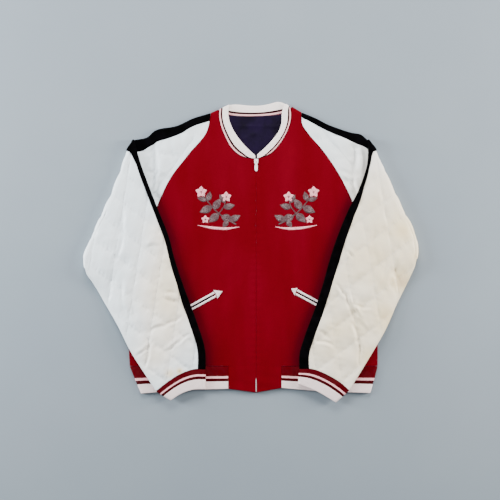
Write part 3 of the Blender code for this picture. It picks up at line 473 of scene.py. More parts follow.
def side_distance(xy):
    """How far inside the nearer side seam each point lies."""
    gaps = []
    for side in SIDES:
        seam = curve(SIDE_SEAM[side], np.linspace(0, 1, 25))
        gaps.append(np.linalg.norm(xy[..., None, :] - seam, axis=-1).min(-1))
    return np.min(gaps, axis=0)


def front_top(xy):
    """Height of the outer face of the fronts."""
    roll = np.clip(1 - side_distance(xy) / SIDE_ROLL_WIDTH, 0, 1) ** 2
    return BODY_TOP + folds(BODY_FOLDS, xy) - SIDE_ROLL * roll


def at_height(xy, z):
    """Points in space from places and heights."""
    return np.concatenate([xy, np.broadcast_to(z, xy.shape[:-1])[..., None]], axis=-1)


# ---- meshes -------------------------------------------------------------------------------------------

CLOTH_UV = "cloth"
RIM = np.array((0.4, 0.9, 1.6, 2.6)) * MM  # extra rows near a piece's border, where it rounds over


def spaced(length, step):
    """Parameters from 0 to 1 along that length: one every step, with closer ones near both ends."""
    even = np.linspace(0, 1, max(4, round(length / step)) + 1)
    near = RIM / length
    inner = even[(even > near[-1] * 1.2) & (even < 1 - near[-1] * 1.2)]
    return np.concatenate([[0], near, inner, (1 - near)[::-1], [1]])


def volume(points, faces):
    """Six times the volume inside the quads, below 0 where they face inwards."""
    one, two, three, four = points[faces].transpose(1, 0, 2)
    return np.einsum("ij,ij", one, np.cross(two, three) + np.cross(three, four))


def mesh_object(name, points, faces, material, uv=None, values=None, caps=()):
    """One smooth-shaded object from points and quads, with metres of cloth as UV and, where values are
    given, an attribute that holds real yellowing on the satin and painted shadow on the fronts.
    """
    points = np.asarray(points, float).reshape(-1, 3)
    faces = np.asarray(faces)
    turned = volume(points, faces) < 0
    faces = faces.tolist() + list(caps)
    if turned:
        faces = [face[::-1] for face in faces]
    mesh = bpy.data.meshes.new(name)
    mesh.from_pydata(points.tolist(), [], faces)
    mesh.polygons.foreach_set("use_smooth", np.ones(len(mesh.polygons), bool))
    if uv is not None:
        layer = mesh.uv_layers.new(name=CLOTH_UV)
        loops = np.empty(len(mesh.loops), np.int32)
        mesh.loops.foreach_get("vertex_index", loops)
        layer.data.foreach_set("uv", np.asarray(uv, np.float32).reshape(-1, 2)[loops].ravel())
    if values is not None:
        attribute = mesh.attributes.new("stain_and_shade", "FLOAT", "POINT")
        attribute.data.foreach_set("value", np.asarray(values, np.float32).ravel())
    mesh.materials.append(material)
    mesh.update()
    obj = bpy.data.objects.new(name, mesh)
    bpy.context.scene.collection.objects.link(obj)
    return obj


def grid_faces(rows, columns, close_rows=False, close_columns=False):
    """The quads of a grid, joined round where asked."""
    ids = np.arange(rows * columns).reshape(rows, columns)
    if close_rows:
        ids = np.concatenate([ids, ids[:1]])
    if close_columns:
        ids = np.concatenate([ids, ids[:, :1]], axis=1)
    return np.stack([ids[:-1, :-1], ids[:-1, 1:], ids[1:, 1:], ids[1:, :-1]], axis=-1).reshape(-1, 4)


def runs(grid):
    """Lengths along a grid's columns and along its rows, from the first row and from the first column."""
    down = np.linalg.norm(np.diff(grid, axis=0), axis=-1).cumsum(0)
    right = np.linalg.norm(np.diff(grid, axis=1), axis=-1).cumsum(1)
    zero_row, zero_column = np.zeros((1, grid.shape[1])), np.zeros((grid.shape[0], 1))
    return np.concatenate([zero_row, down]), np.concatenate([zero_column, right], axis=1)


def rounded(outer, inner, radius, sides="tblr"):
    """Both faces drawn together near the chosen borders, each falling as a quarter circle does."""
    down, right = runs(outer)
    gaps = {"t": down, "b": down[-1:] - down, "l": right, "r": right[:, -1:] - right}
    gap = np.min([gaps[side] for side in sides], axis=0)
    near = 1 - np.clip(gap / radius, 0, 1)
    kept = (0.1 + 0.9 * np.sqrt(1 - near**2))[..., None]
    middle = (outer + inner) / 2
    return middle + (outer - middle) * kept, middle + (inner - middle) * kept


def wall_parts(outer, inner):
    """Points, faces and UV of a closed wall: the outer grid, the inner one below, and a border of faces."""
    rows, columns = outer.shape[:2]
    count = rows * columns
    ids = np.arange(count).reshape(rows, columns)
    top = grid_faces(rows, columns)
    ring = np.concatenate([ids[0, :-1], ids[:-1, -1], ids[-1, :0:-1], ids[:0:-1, 0]])
    following = np.roll(ring, -1)
    border = np.stack([following, ring, ring + count, following + count], axis=1)
    down, right = runs(outer)
    uv = np.stack([right, down], axis=-1).reshape(-1, 2)
    points = np.concatenate([outer.reshape(-1, 3), inner.reshape(-1, 3)])
    return points, np.concatenate([top, top[:, ::-1] + count, border]), np.concatenate([uv, uv])


def wall(name, outer, inner, material, values=None):
    """A wall of cloth as one object, with a value for each point of its outer grid."""
    if values is not None:
        values = np.concatenate([values.ravel(), values.ravel()])
    points, faces, uv = wall_parts(outer, inner)
    return mesh_object(name, points, faces, material, uv, values)


def cut_of(outer):
    """Flat width, length and area of a piece: its longest row, its longest column and its outer face."""
    down, right = runs(outer)
    a = outer[1:, :-1] - outer[:-1, :-1]
    b = outer[:-1, 1:] - outer[:-1, :-1]
    area = np.linalg.norm(np.cross(a, b), axis=-1).sum()
    return right[:, -1].max(), down[-1].max(), area


def cloth(piece, node, cut):
    """Hides the model's part that a piece of cloth stands for and attaches the piece to the jacket."""
    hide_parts(node)
    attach(piece, "jacket")
    width, length, area = cut
    area = min(area, width * length)
    return piece


def trim(piece, node):
    """The same for a small piece that isn't a cut sheet: hides its model part, where there is one, and
    attaches it to the jacket.
    """
    if node:
        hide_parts(node)
    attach(piece, "jacket")
    return piece


# ---- materials ----------------------------------------------------------------------------------------


def linear(code):
    """An sRGB hex code as linear colour."""
    values = [int(code[i : i + 2], 16) / 255 for i in (1, 3, 5)]
    values = [v / 12.92 if v <= 0.04045 else ((v + 0.055) / 1.055) ** 2.4 for v in values]
    return (*values, 1.0)


def plug(tree, socket, value):
    """Sets an input to a value, or links it to another node's output."""
    if isinstance(value, bpy.types.NodeSocket):
        tree.links.new(value, socket)
    else:
        socket.default_value = value


def add(tree, kind, inputs=None, **settings):
    """A node of that kind with its settings, and its inputs set to values or linked to other outputs."""
    made = tree.nodes.new(f"ShaderNode{kind}")
    for name, value in settings.items():
        setattr(made, name, value)
    for name, value in (inputs or {}).items():
        plug(tree, made.inputs[name], value)
    return made


def new_material(
    name, roughness, sheen=0.0, tint=(1, 1, 1, 1), sheen_roughness=0.4, metallic=0.0, specular=0.5
):
    """A material, its tree and its shader, with what is the same all over the piece."""
    made = bpy.data.materials.new(name)
    made.use_nodes = True
    shader = made.node_tree.nodes["Principled BSDF"]
    inputs = {
        "Roughness": roughness,
        "Metallic": metallic,
        "IOR": 1.5,
        "Specular IOR Level": specular,
        "Sheen Weight": sheen,
        "Sheen Tint": tint,
        "Sheen Roughness": sheen_roughness,
    }
    for socket, value in inputs.items():
        shader.inputs[socket].default_value = value
    return made, made.node_tree, shader


def mixed(tree, factor, first, second):
    """Colour between two, by a factor. Inputs 0, 6 and 7 are the factor and the two colours."""
    return add(tree, "Mix", {0: factor, 6: first, 7: second}, data_type="RGBA").outputs[2]


def scaled(tree, coordinate, scale, angle=0.0):
    """Coordinates stretched along each axis and turned about the third."""
    inputs = {"Vector": coordinate, "Scale": scale, "Rotation": (0, 0, angle)}
    return add(tree, "Mapping", inputs).outputs["Vector"]


def noise(tree, vector, scale, detail=3.0, roughness=0.5):
    """Smooth random values about 0.5."""
    inputs = {"Vector": vector, "Scale": scale, "Detail": detail, "Roughness": roughness}
    return add(tree, "TexNoise", inputs).outputs["Fac"]


def spread(tree, value, low, high):
    """A value between low and high stretched to 0 to 1."""
    inputs = {"Value": value, "From Min": low, "From Max": high, "To Min": 0.0, "To Max": 1.0}
    return add(tree, "MapRange", inputs).outputs["Result"]


def times(tree, first, second):
    """Product of two values."""
    return add(tree, "Math", {0: first, 1: second}, operation="MULTIPLY").outputs[0]


def bump(tree, shader, height, strength, distance, under=None):
    """Fine relief on a material, on top of a coarser one where there is one."""
    inputs = {"Height": height, "Strength": strength, "Distance": distance}
    if under is not None:
        inputs["Normal"] = under
    made = add(tree, "Bump", inputs)
    tree.links.new(made.outputs["Normal"], shader.inputs["Normal"])
    return made.outputs["Normal"]


def object_coordinates(tree):
    """Metres in the jacket's own frame."""
    return add(tree, "TexCoord").outputs["Object"]


def cloth_coordinates(tree):
    """The piece's own UV: along it, and down or across it."""
    return add(tree, "UVMap", uv_map=CLOTH_UV).outputs["UV"]


def velveteen(name, deep, bright):
    """Cotton velveteen: a matt pile with faint brushed streaks, and painted shadow beside each folded
    sleeve's edge.
    """
    made, tree, shader = new_material(name, 0.9, 0.1, linear("#E81830"), 0.4, specular=0.04)
    place = object_coordinates(tree)
    brushed = noise(tree, scaled(tree, place, (11, 3.2, 1), 0.5), 1.0, 4.0, 0.55)
    crossed = noise(tree, scaled(tree, place, (16, 4, 1), -0.6), 1.0, 3.0, 0.5)
    pile = noise(tree, place, 900, 2.0, 0.6)
    streaks = spread(tree, times(tree, brushed, crossed), 0.12, 0.4)
    color = mixed(tree, streaks, linear(deep), linear(bright))
    speckle = spread(tree, pile, 0.25, 0.75)
    dark = mixed(tree, 0.9, (0, 0, 0, 1), color)
    color = mixed(tree, speckle, dark, color)
    # Painted shadow: the attribute darkens the red towards #24000A beside each folded sleeve's edge.
    painted_shadow = add(tree, "Attribute", attribute_name="stain_and_shade").outputs["Fac"]
    tree.links.new(mixed(tree, painted_shadow, color, linear("#24000A")), shader.inputs["Base Color"])
    soft = noise(tree, place, 1600, 2.0, 0.7)
    bump(tree, shader, soft, 0.35, 0.0004)
    return made


def ramp(tree, value, stops, interpolation="LINEAR"):
    """Colour along a row of stops, each a place from 0 to 1 and a hex code."""
    made = add(tree, "ValToRGB", {"Fac": value})
    made.color_ramp.interpolation = interpolation
    elements = made.color_ramp.elements
    elements[0].position = stops[0][0]
    elements[1].position = stops[1][0]
    for position, _ in stops[2:]:
        elements.new(position)
    for element, (_, code) in zip(elements, stops):
        element.color = linear(code)
    return made.outputs["Color"]


# Satin from clean to rust: the stain attribute and its colour.
SATIN_STOPS = ((0.0, "#E9F2F7"), (0.35, "#F7F0E4"), (0.75, "#F2DDB0"), (1.0, "#A87848"))


def satin(name):
    """Acetate satin over wadding: a smooth weave, a low gloss, and yellowing by the stain attribute."""
    made, tree, shader = new_material(name, 0.42, 0.12, linear("#F4F8FF"), 0.5, specular=0.42)
    place = object_coordinates(tree)
    flow = cloth_coordinates(tree)
    stain_and_shade = add(tree, "Attribute", attribute_name="stain_and_shade").outputs["Fac"]
    mottle = spread(tree, noise(tree, place, 22, 4.0, 0.6), 0.3, 0.72)
    yellowing = ramp(tree, stain_and_shade, SATIN_STOPS)
    color = mixed(tree, times(tree, mottle, 0.12), yellowing, linear("#D8DADB"))
    threads = noise(tree, scaled(tree, flow, (260, 2600, 1)), 1.0, 2.0, 0.5)
    fine = mixed(tree, 0.96, (0, 0, 0, 1), color)
    tree.links.new(mixed(tree, spread(tree, threads, 0.3, 0.7), fine, color), shader.inputs["Base Color"])
    rough = add(tree, "MapRange", {"Value": mottle, "To Min": 0.36, "To Max": 0.5}).outputs["Result"]
    tree.links.new(rough, shader.inputs["Roughness"])
    crumple = noise(tree, place, 110, 3.0, 0.55)
    under = bump(tree, shader, crumple, 0.35, 0.0012)
    bump(tree, shader, threads, 0.12, 0.0002, under)
    return made


def black_velvet(name):
    """Rayon velvet: nearly black, with a faint cool sheen where the pile leans."""
    made, tree, shader = new_material(name, 0.97, 0.02, linear("#8A84A0"), 0.35, specular=0.02)
    place = object_coordinates(tree)
    lean = spread(tree, noise(tree, place, 60, 3.0, 0.5), 0.35, 0.7)
    color = mixed(tree, lean, linear("#010101"), linear("#050406"))
    tree.links.new(color, shader.inputs["Base Color"])
    bump(tree, shader, noise(tree, place, 1500, 2.0, 0.7), 0.4, 0.0004)
    return made


def rib_knit(name, stops):
    """Wool rib knit: bands of colour from seam to edge, and a small V stitch down each rib."""
    made, tree, shader = new_material(name, 0.95, specular=0.03)
    place = object_coordinates(tree)
    flow = cloth_coordinates(tree)
    parts = add(tree, "SeparateXYZ", {"Vector": flow})
    centred = add(tree, "Math", {0: noise(tree, place, 420, 2.0), 1: 0.5}, operation="SUBTRACT").outputs[0]
    shift = times(tree, centred, 0.03)
    across = add(tree, "Math", {0: parts.outputs["Y"], 1: shift}, operation="ADD").outputs[0]
    bands = ramp(tree, across, stops, "CONSTANT")
    grime = spread(tree, noise(tree, place, 40, 4.0, 0.6), 0.35, 0.8)
    worn = mixed(tree, 0.94, linear("#8A5A58"), bands)
    tree.links.new(mixed(tree, grime, bands, worn), shader.inputs["Base Color"])
    inputs = {"Vector": place, "Scale": 210.0, "Distortion": 3.0}
    knit = add(tree, "TexWave", inputs, bands_direction="Y")
    fuzz = noise(tree, place, 1300, 3.0, 0.7)
    under = bump(tree, shader, knit.outputs["Fac"], 0.25, 0.0005)
    bump(tree, shader, fuzz, 0.4, 0.0004, under)
    return made


def lining_satin(name):
    """Rayon lining: dark purple with a soft shine along its wrinkles."""
    made, tree, shader = new_material(name, 0.5, specular=0.08)
    place = object_coordinates(tree)
    cloud = spread(tree, noise(tree, place, 26, 4.0, 0.6), 0.3, 0.7)
    tree.links.new(mixed(tree, cloud, linear("#060110"), linear("#140626")), shader.inputs["Base Color"])
    twill = add(tree, "TexWave", {"Vector": place, "Scale": 700.0}, bands_direction="DIAGONAL")
    under = bump(tree, shader, noise(tree, place, 70, 3.0), 0.4, 0.0015)
    bump(tree, shader, twill.outputs["Fac"], 0.15, 0.0002, under)
    return made


def pocketing_shade_material(name):
    """Pocketing in the pocket's mouth, coloured near-black as painted shade for the shadowed slit."""
    made, tree, shader = new_material(name, 0.95, specular=0.05)
    weave = noise(tree, object_coordinates(tree), 1400, 2.0, 0.6)
    tree.links.new(mixed(tree, weave, linear("#050106"), linear("#12040C")), shader.inputs["Base Color"])
    bump(tree, shader, weave, 0.3, 0.0002)
    return made


def thread(name, deep, bright, scale=900.0):
    """Twisted embroidery or sewing thread: fine ridges with a silky shine."""
    made, tree, shader = new_material(name, 0.5, 0.1, linear(bright), 0.4, specular=0.35)
    flow = cloth_coordinates(tree)
    place = object_coordinates(tree)
    inputs = {"Vector": flow, "Scale": scale / 6.28, "Distortion": 1.2}
    lines = add(tree, "TexWave", inputs, bands_direction="X")
    cloud = times(tree, lines.outputs["Fac"], spread(tree, noise(tree, place, 160, 3.0), 0.2, 0.8))
    tree.links.new(mixed(tree, cloud, linear(deep), linear(bright)), shader.inputs["Base Color"])
    bump(tree, shader, lines.outputs["Fac"], 0.5, 0.0004)
    return made


def woven_tape(name):
    """Cotton zip tape: a herringbone twill."""
    made, tree, shader = new_material(name, 0.9, 0.1, linear("#FF8080"), 0.5, specular=0.15)
    place = object_coordinates(tree)
    twill = add(tree, "TexWave", {"Vector": place, "Scale": 320.0}, bands_direction="DIAGONAL")
    color = mixed(tree, twill.outputs["Fac"], linear("#2A0206"), linear("#4A060C"))
    tree.links.new(color, shader.inputs["Base Color"])
    bump(tree, shader, twill.outputs["Fac"], 0.4, 0.0003)
    return made


def nickel(name):
    """Nickel-plated zinc: bright, with fine wear that dulls its shine in places."""
    made, tree, shader = new_material(name, 0.3, metallic=1.0)
    place = object_coordinates(tree)
    wear = noise(tree, place, 700, 4.0, 0.65)
    tree.links.new(mixed(tree, wear, linear("#CFC6C4"), linear("#F4EEEC")), shader.inputs["Base Color"])
    rough = add(tree, "MapRange", {"Value": wear, "To Min": 0.2, "To Max": 0.42}).outputs["Result"]
    tree.links.new(rough, shader.inputs["Roughness"])
    bump(tree, shader, wear, 0.1, 0.0002)
    return made


COLLAR_STOPS = ((0.0, "#F0B6B6"), (0.16, "#1C0106"), (0.34, "#FAEEE8"))
CUFF_STOPS = ((0.0, "#480008"), (0.25, "#F4B4B8"), (0.345, "#3A0006"), (0.5, "#F2DEDC"))
HEM_STOPS = ((0.0, "#50000A"), (0.43, "#F4B4B8"), (0.525, "#3A0006"), (0.66, "#F2DEDC"))

RED = velveteen("red_velveteen", "#5E000C", "#680113")
WHITE = satin("white_satin")
BLACK = black_velvet("black_velvet")
COLLAR_RIB = rib_knit("collar_rib_knit", COLLAR_STOPS)
CUFF_RIB = rib_knit("cuff_rib_knit", CUFF_STOPS)
HEM_RIB = rib_knit("hem_rib_knit", HEM_STOPS)
PURPLE = lining_satin("purple_lining")
# Painted shade: near-black cloth laid where the pocket's mouth is in shadow.
POCKETING_SHADE = pocketing_shade_material("pocketing_painted_shade")
PIPING = thread("white_piping", "#E8D2D0", "#FFF7F5", 2400.0)
WHITE_THREAD = thread("white_thread", "#D9DCE0", "#F7F8FA", 4000.0)
PINK_THREAD = thread("pink_embroidery_thread", "#E08A94", "#FFC6C8", 5200.0)
TAUPE_THREAD = thread("taupe_embroidery_thread", "#3A2226", "#705054", 5200.0)
TAPE = woven_tape("red_zip_tape")
METAL = nickel("nickel_plate")


# ---- body ---------------------------------------------------------------------------------------------


def side_edge(side):
    """A body panel's outer edge from the neck corner: shoulder, raglan seam and side seam."""
    inwards = -RAGLAN_GAP * SIDES[side] * np.array((1, 0))
    t = np.linspace(0, 1, 121)
    seams = np.concatenate([curve(RAGLAN[side], t), curve(SIDE_SEAM[side], t)[1:]])
    return np.concatenate([np.array([NECK_CORNER[side]]) * MM, seams + inwards])


def opening_gap(y):
    """Half the gap between the fronts: nearly shut, and wider at the slider and round the bottom pin."""
    top = smooth((y - (SLIDER_Y - 12 * MM)) / (10 * MM))
    bottom = smooth((HEM_SEAM_Y - 26 * MM - y) / (12 * MM))
    return (0.04 + 0.8 * top + 1.2 * bottom) * MM


def body_detail(xy):
    """Low unevenness of the body: soft waves, and puckers beside the zip."""
    near_zip = np.exp(-(((xy[..., 0] - CENTRE_X) / ZIP_PUCKER_REACH) ** 2))
    pulls = np.sin(2 * np.pi * xy[..., 1] / ZIP_PUCKER_LENGTH + 2.2 * np.sin(xy[..., 1] / (41 * MM)))
    waves = 0.45 * ripples(xy, 120 * MM, 3) + 0.12 * ripples(xy, 34 * MM, 5)
    return (waves + 0.22 * near_zip * pulls) * MM


def painted_sleeve_shadow(side, xy):
    """Painted shadow on a front, from 0 to 1: darkest beside the folded sleeve's edge, where its shade
    falls.
    """
    crease = curve(ARM_CREASE[side], np.linspace(0, 1, 90))
    gap = np.linalg.norm(xy[..., None, :] - crease, axis=-1).min(-1) / SLEEVE_SHADOW_REACH
    return np.clip(SLEEVE_SHADOW_DARKEST * np.exp(-gap) * (1 + 0.15 * ripples(xy, 60 * MM, 71)), 0, 1)


def make_front(side):
    """A front between its outer edge, the zip, the neck and the hem, with the low detail on its face."""
    sign = SIDES[side]
    edge = side_edge(side)
    u = spaced(length_of(edge), FRONT_GRID)
    v = spaced(290 * MM, FRONT_GRID)
    outer_edge = along(edge, u)
    y = NECK_POINT_Y + (HEM_SEAM_Y - NECK_POINT_Y) * u
    opening = np.stack([CENTRE_X + sign * opening_gap(y), y], axis=1)
    neck = curve(NECK_SEAM[side], v) + 2 * SEAM_GAP * np.array((sign, -1.0))
    neck[0] = outer_edge[0]
    neck[-1] = opening[0]
    neck[-6:-1] += (opening[0] - curve(NECK_SEAM[side], 1.0)) * np.linspace(0.2, 0.9, 5)[:, None] ** 2
    hem = outer_edge[-1] + (opening[-1] - outer_edge[-1]) * v[:, None]
    xy = between(outer_edge, opening, neck, hem, u, v)
    plain = front_top(xy)
    outer = at_height(xy, plain + body_detail(xy))
    near_zip = smooth(1 - np.abs(xy[..., 0] - CENTRE_X) / (16 * MM))
    inner = at_height(xy, plain - BODY_WALL + 1.6 * MM * near_zip)
    cut = cut_of(outer)
    outer, inner = rounded(outer, inner, 0.8 * MM, "tl")
    outer, inner = rounded(outer, inner, 0.6 * MM, "r")
    # The values are painted shadow beside the folded sleeve's edge.
    piece = wall(f"front_{side}_velveteen", outer, inner, RED, painted_sleeve_shadow(side, xy))
    return cloth(piece, f"front_{side}", cut)


def make_back():
    """The back: flat where it rests, between both outer edges, the neck and the hem."""
    right, left = side_edge("right"), side_edge("left")
    u = spaced(length_of(right), BACK_GRID)
    v = spaced(560 * MM, BACK_GRID)
    first, last = along(right, u), along(left, u)
    seam = curve(BACK_NECK_SEAM, np.linspace(0, 1, 60)) - (0, SEAM_GAP)
    neck = along(np.concatenate([first[:1], seam, last[:1]]), v)
    hem = first[-1] + (last[-1] - first[-1]) * v[:, None]
    xy = between(first, last, neck, hem, u, v)
    outer, inner = at_height(xy, BODY_WALL), at_height(xy, LOWEST)
    cut = cut_of(outer)
    outer, inner = rounded(outer, inner, 1.4 * MM)
    piece = wall("back_velveteen", outer, inner, RED)
    return cloth(piece, "back_panel", cut)


def make_lining():
    """The back's lining where it shows in the neck, with its pressed pleat and a slanting crease."""
    u = spaced(125 * MM, LINING_GRID)
    right, left = curve(LINING_EDGE["right"], u), curve(LINING_EDGE["left"], u)
    v = spaced(146 * MM, LINING_GRID)
    top = curve(LINING_TOP, v)
    bottom = right[-1] + (left[-1] - right[-1]) * v[:, None]
    xy = between(right, left, top, bottom, u, v)
    floor = BODY_WALL + 0.3 * MM
    pleat = 0.5 * smooth((xy[..., 1] - LINING_PLEAT_Y) / (1.6 * MM)) * MM
    fine = (0.22 * ripples(xy, 22 * MM, 21) + 0.1 * ripples(xy, 8 * MM, 22)) * MM
    outer = at_height(xy, floor + 1.0 * MM + folds(LINING_FOLDS, xy) + pleat + fine)
    inner = at_height(xy, floor)
    cut = cut_of(outer)
    outer, inner = rounded(outer, inner, 1.0 * MM)
    piece = wall("back_neck_lining", outer, inner, PURPLE)
    return cloth(piece, "back_lining", cut)


def make_hem_tab(side):
    """The velveteen tab between the rib's end and the zip, with a slanting lower edge."""
    sign = SIDES[side]
    u = spaced(60 * MM, TAB_GRID)[:, None]
    v = spaced(64 * MM, TAB_GRID)[None]
    bottom = TAB_SIDE_Y[side] + (TAB_POINT_Y - TAB_SIDE_Y[side]) * v
    y = HEM_SEAM_Y * (1 - u) + bottom * u
    near = CENTRE_X + sign * opening_gap(y)
    x = TAB_EDGE_X[side] + (near - TAB_EDGE_X[side]) * v
    xy = np.stack(np.broadcast_arrays(x, y), axis=-1)
    sag = 0.35 * ripples(xy, 30 * MM, 8) * MM
    near_zip = smooth(1 - np.abs(xy[..., 0] - CENTRE_X) / (12 * MM))
    outer = at_height(xy, BODY_TOP + sag)
    inner = at_height(xy, BODY_TOP - BODY_WALL + 1.2 * MM * near_zip)
    cut = cut_of(outer)
    outer, inner = rounded(outer, inner, 0.6 * MM, "lr")
    outer, inner = rounded(outer, inner, 1.6 * MM, "b")
    piece = wall(f"hem_tab_{side}_velveteen", outer, inner, RED)
    return cloth(piece, f"hem_tab_{side}", cut)


# ---- ribs ---------------------------------------------------------------------------------------------

RIB_STEP = 3.1 * MM
RIB_RELIEF = 0.55 * MM
RIB_CROWN = 0.3 * MM
CUFF_CROWN = 0.4 * MM


def eased(points):
    """A chain of points with its kinks softened: three times, each moves towards its neighbours' middle."""
    points = points.copy()
    for _ in range(3):
        points[1:-1] = (points[:-2] + 2 * points[1:-1] + points[2:]) / 4
    return points


def turn(seam, edge, out, high, low, steps=5):
    """Stations of a strip that turns over a vertical half circle, from the height high to the height low."""
    angle = np.linspace(0, np.pi, steps)[:, None]
    radius = (high - low) / 2
    offset = np.asarray(out)[None] * radius * np.sin(angle)
    z = ((high + low) / 2 + radius * np.cos(angle))[:, 0]
    return at_height(seam[None] + offset, z), at_height(edge[None] + offset, z)


def strip(
    name, seam, edge, thickness, material, rib=RIB_STEP, relief=RIB_RELIEF, closed=False, crown=0.0,
    step=RIB_STEP / 4, slant=0.0,
):
    """A strip of cloth swept along its seam: a flat section with round ends, ribbed on both faces.

    A rib's height is half a cosine along the seam, and it fades over the last millimetres of the section.
    At both ends its bands of colour run off over the seam by the slant's share of the width.
    """
    middle = (seam + edge) / 2
    run = run_of(np.concatenate([middle, middle[:1]]) if closed else middle)
    at = np.linspace(0, run[-1], round(run[-1] / step) + 1)
    at = at[:-1] if closed else at

    def refined(points):
        """The same line with a point at every step."""
        points = np.concatenate([points, points[:1]]) if closed else points
        slope = np.gradient(points, run, axis=0)
        if closed:
            slope[0] = slope[-1] = (points[1] - points[-2]) / (run[1] + run[-1] - run[-2])
        return hermite(points, slope, run, at)

    seam, edge = refined(seam), refined(edge)
    middle = (seam + edge) / 2
    if closed:
        forward = np.roll(middle, -3, axis=0) - np.roll(middle, 3, axis=0)
    else:
        forward = np.gradient(middle, axis=0)
    normal = np.cross(forward, edge - seam)
    normal /= np.linalg.norm(normal, axis=1)[:, None]
    normal *= np.sign(normal[0, 2])
    width = np.linalg.norm(edge - seam, axis=1)
    quarter = np.radians(np.array((0, 25, 50, 72, 90)))
    round_in = thickness / 2 * (1 - np.cos(quarter))
    flat = np.linspace(0, 1, 10)[1:-1]
    ends = round_in / width[:, None]
    inner = ends[:, -1:]
    share = np.concatenate([ends, inner + flat * (1 - 2 * inner), 1 - ends[:, ::-1]], axis=1)
    rise = np.concatenate([np.sin(quarter), np.ones(len(flat)), np.sin(quarter)[::-1]])
    share = np.concatenate([share, share[:, -2:0:-1]], axis=1)
    b = np.concatenate([rise, -rise[-2:0:-1]])[None]
    fade = np.clip(np.abs(b), 0, 1) ** 3 * smooth(np.minimum(share, 1 - share) * width[:, None] / (2.5 * MM))
    wave = 0.5 - 0.5 * np.cos(2 * np.pi * at / rib) if rib else np.zeros(len(at))
    high = thickness / 2 + fade * relief * (wave[:, None] - 0.45) + crown * np.sin(np.pi * share) * (b > 0)
    points = seam[:, None] + (edge - seam)[:, None] * share[..., None]
    points = points + normal[:, None] * (high * b)[..., None]
    points[..., 2] = np.maximum(points[..., 2], LOWEST)
    rows, columns = points.shape[:2]
    faces = grid_faces(rows, columns, close_rows=closed, close_columns=True)
    run_off = slant * (1 - smooth(np.minimum(at, run[-1] - at) / (34 * MM)))
    uv = np.stack(np.broadcast_arrays(at[:, None], share + run_off[:, None]), axis=-1).reshape(-1, 2)
    ring = np.arange(columns)
    caps = () if closed else (ring[::-1].tolist(), (ring + (rows - 1) * columns).tolist())
    cut = (run[-1], width.max(), float((width * np.gradient(at)).sum()))
    return mesh_object(name, points, faces, material, uv, caps=caps), cut


def make_collar():
    """One rib band from the right front's point, up, round the back and down to the left front's point."""
    high, low = RIB_HIGH, RIB_LOW
    seams, edges = [], []
    for side in SIDES:
        order = 1 if side == "left" else -1
        t = np.linspace(0, 1, 24)[::order]
        seams.append(at_height(curve(NECK_SEAM[side], t), high))
        edges.append(at_height(curve(COLLAR_EDGE[side], t), high))
    t = np.linspace(0, 1, 24)
    back_seam = at_height(curve(BACK_NECK_SEAM, t), low)
    back_edge = at_height(curve(BACK_COLLAR_EDGE, t), low)
    turns = {}
    for side, out in (("right", (-1, 0.1)), ("left", (1, 0.25))):
        place = np.array(COLLAR_TURN[side]) * MM
        turns[side] = turn(place[:2], place[2:], np.array(out), high, low)
    seam = np.concatenate([seams[0], turns["right"][0], back_seam, turns["left"][0][::-1], seams[1]])
    edge = np.concatenate([edges[0], turns["right"][1], back_edge, turns["left"][1][::-1], edges[1]])
    seam, edge = eased(seam), eased(edge)
    piece, cut = strip("collar_rib_band", seam, edge, RIB_WALL, COLLAR_RIB, crown=RIB_CROWN, slant=0.36)
    return cloth(piece, "collar_rib", cut)


def make_hem():
    """One rib band from the right tab, round the back, to the left tab."""
    high, low = RIB_HIGH, RIB_LOW
    radius = (high - low) / 2 + RIB_WALL / 2
    seam_y = HEM_SEAM_Y - HEM_GAP
    parts = {}
    for side, sign in SIDES.items():
        start = TAB_EDGE_X[side] + sign * SEAM_GAP
        end = SIDE_SEAM[side][-1][0] * MM - sign * radius
        t = np.linspace(0, 1, 40)
        seam = np.stack([start + (end - start) * t, np.full(len(t), seam_y)], axis=1)
        edge = curve(HEM_EDGE[side], t)
        edge[:, 0] += sign * SEAM_GAP * (1 - t)
        bend = turn(seam[-1], edge[-1], np.array((sign, 0.0)), high, low, 9)
        parts[side] = (at_height(seam, high), at_height(edge, high), bend)
    t = np.linspace(0, 1, 60)[1:-1, None]
    right, left = parts["right"], parts["left"]
    back_seam = right[0][-1, :2] + (left[0][-1, :2] - right[0][-1, :2]) * t
    back_edge = right[1][-1, :2] + (left[1][-1, :2] - right[1][-1, :2]) * t
    back_edge[:, 1] += BACK_HEM_RISE * np.sin(np.pi * t[:, 0]) ** 0.7
    seam, edge = (
        np.concatenate([right[k], right[2][k][1:], at_height(back, low), left[2][k][:0:-1], left[k][::-1]])
        for k, back in enumerate((back_seam, back_edge))
    )
    piece, cut = strip("hem_rib_band", seam, edge, RIB_WALL, HEM_RIB, crown=RIB_CROWN)
    return cloth(piece, "hem_rib", cut)


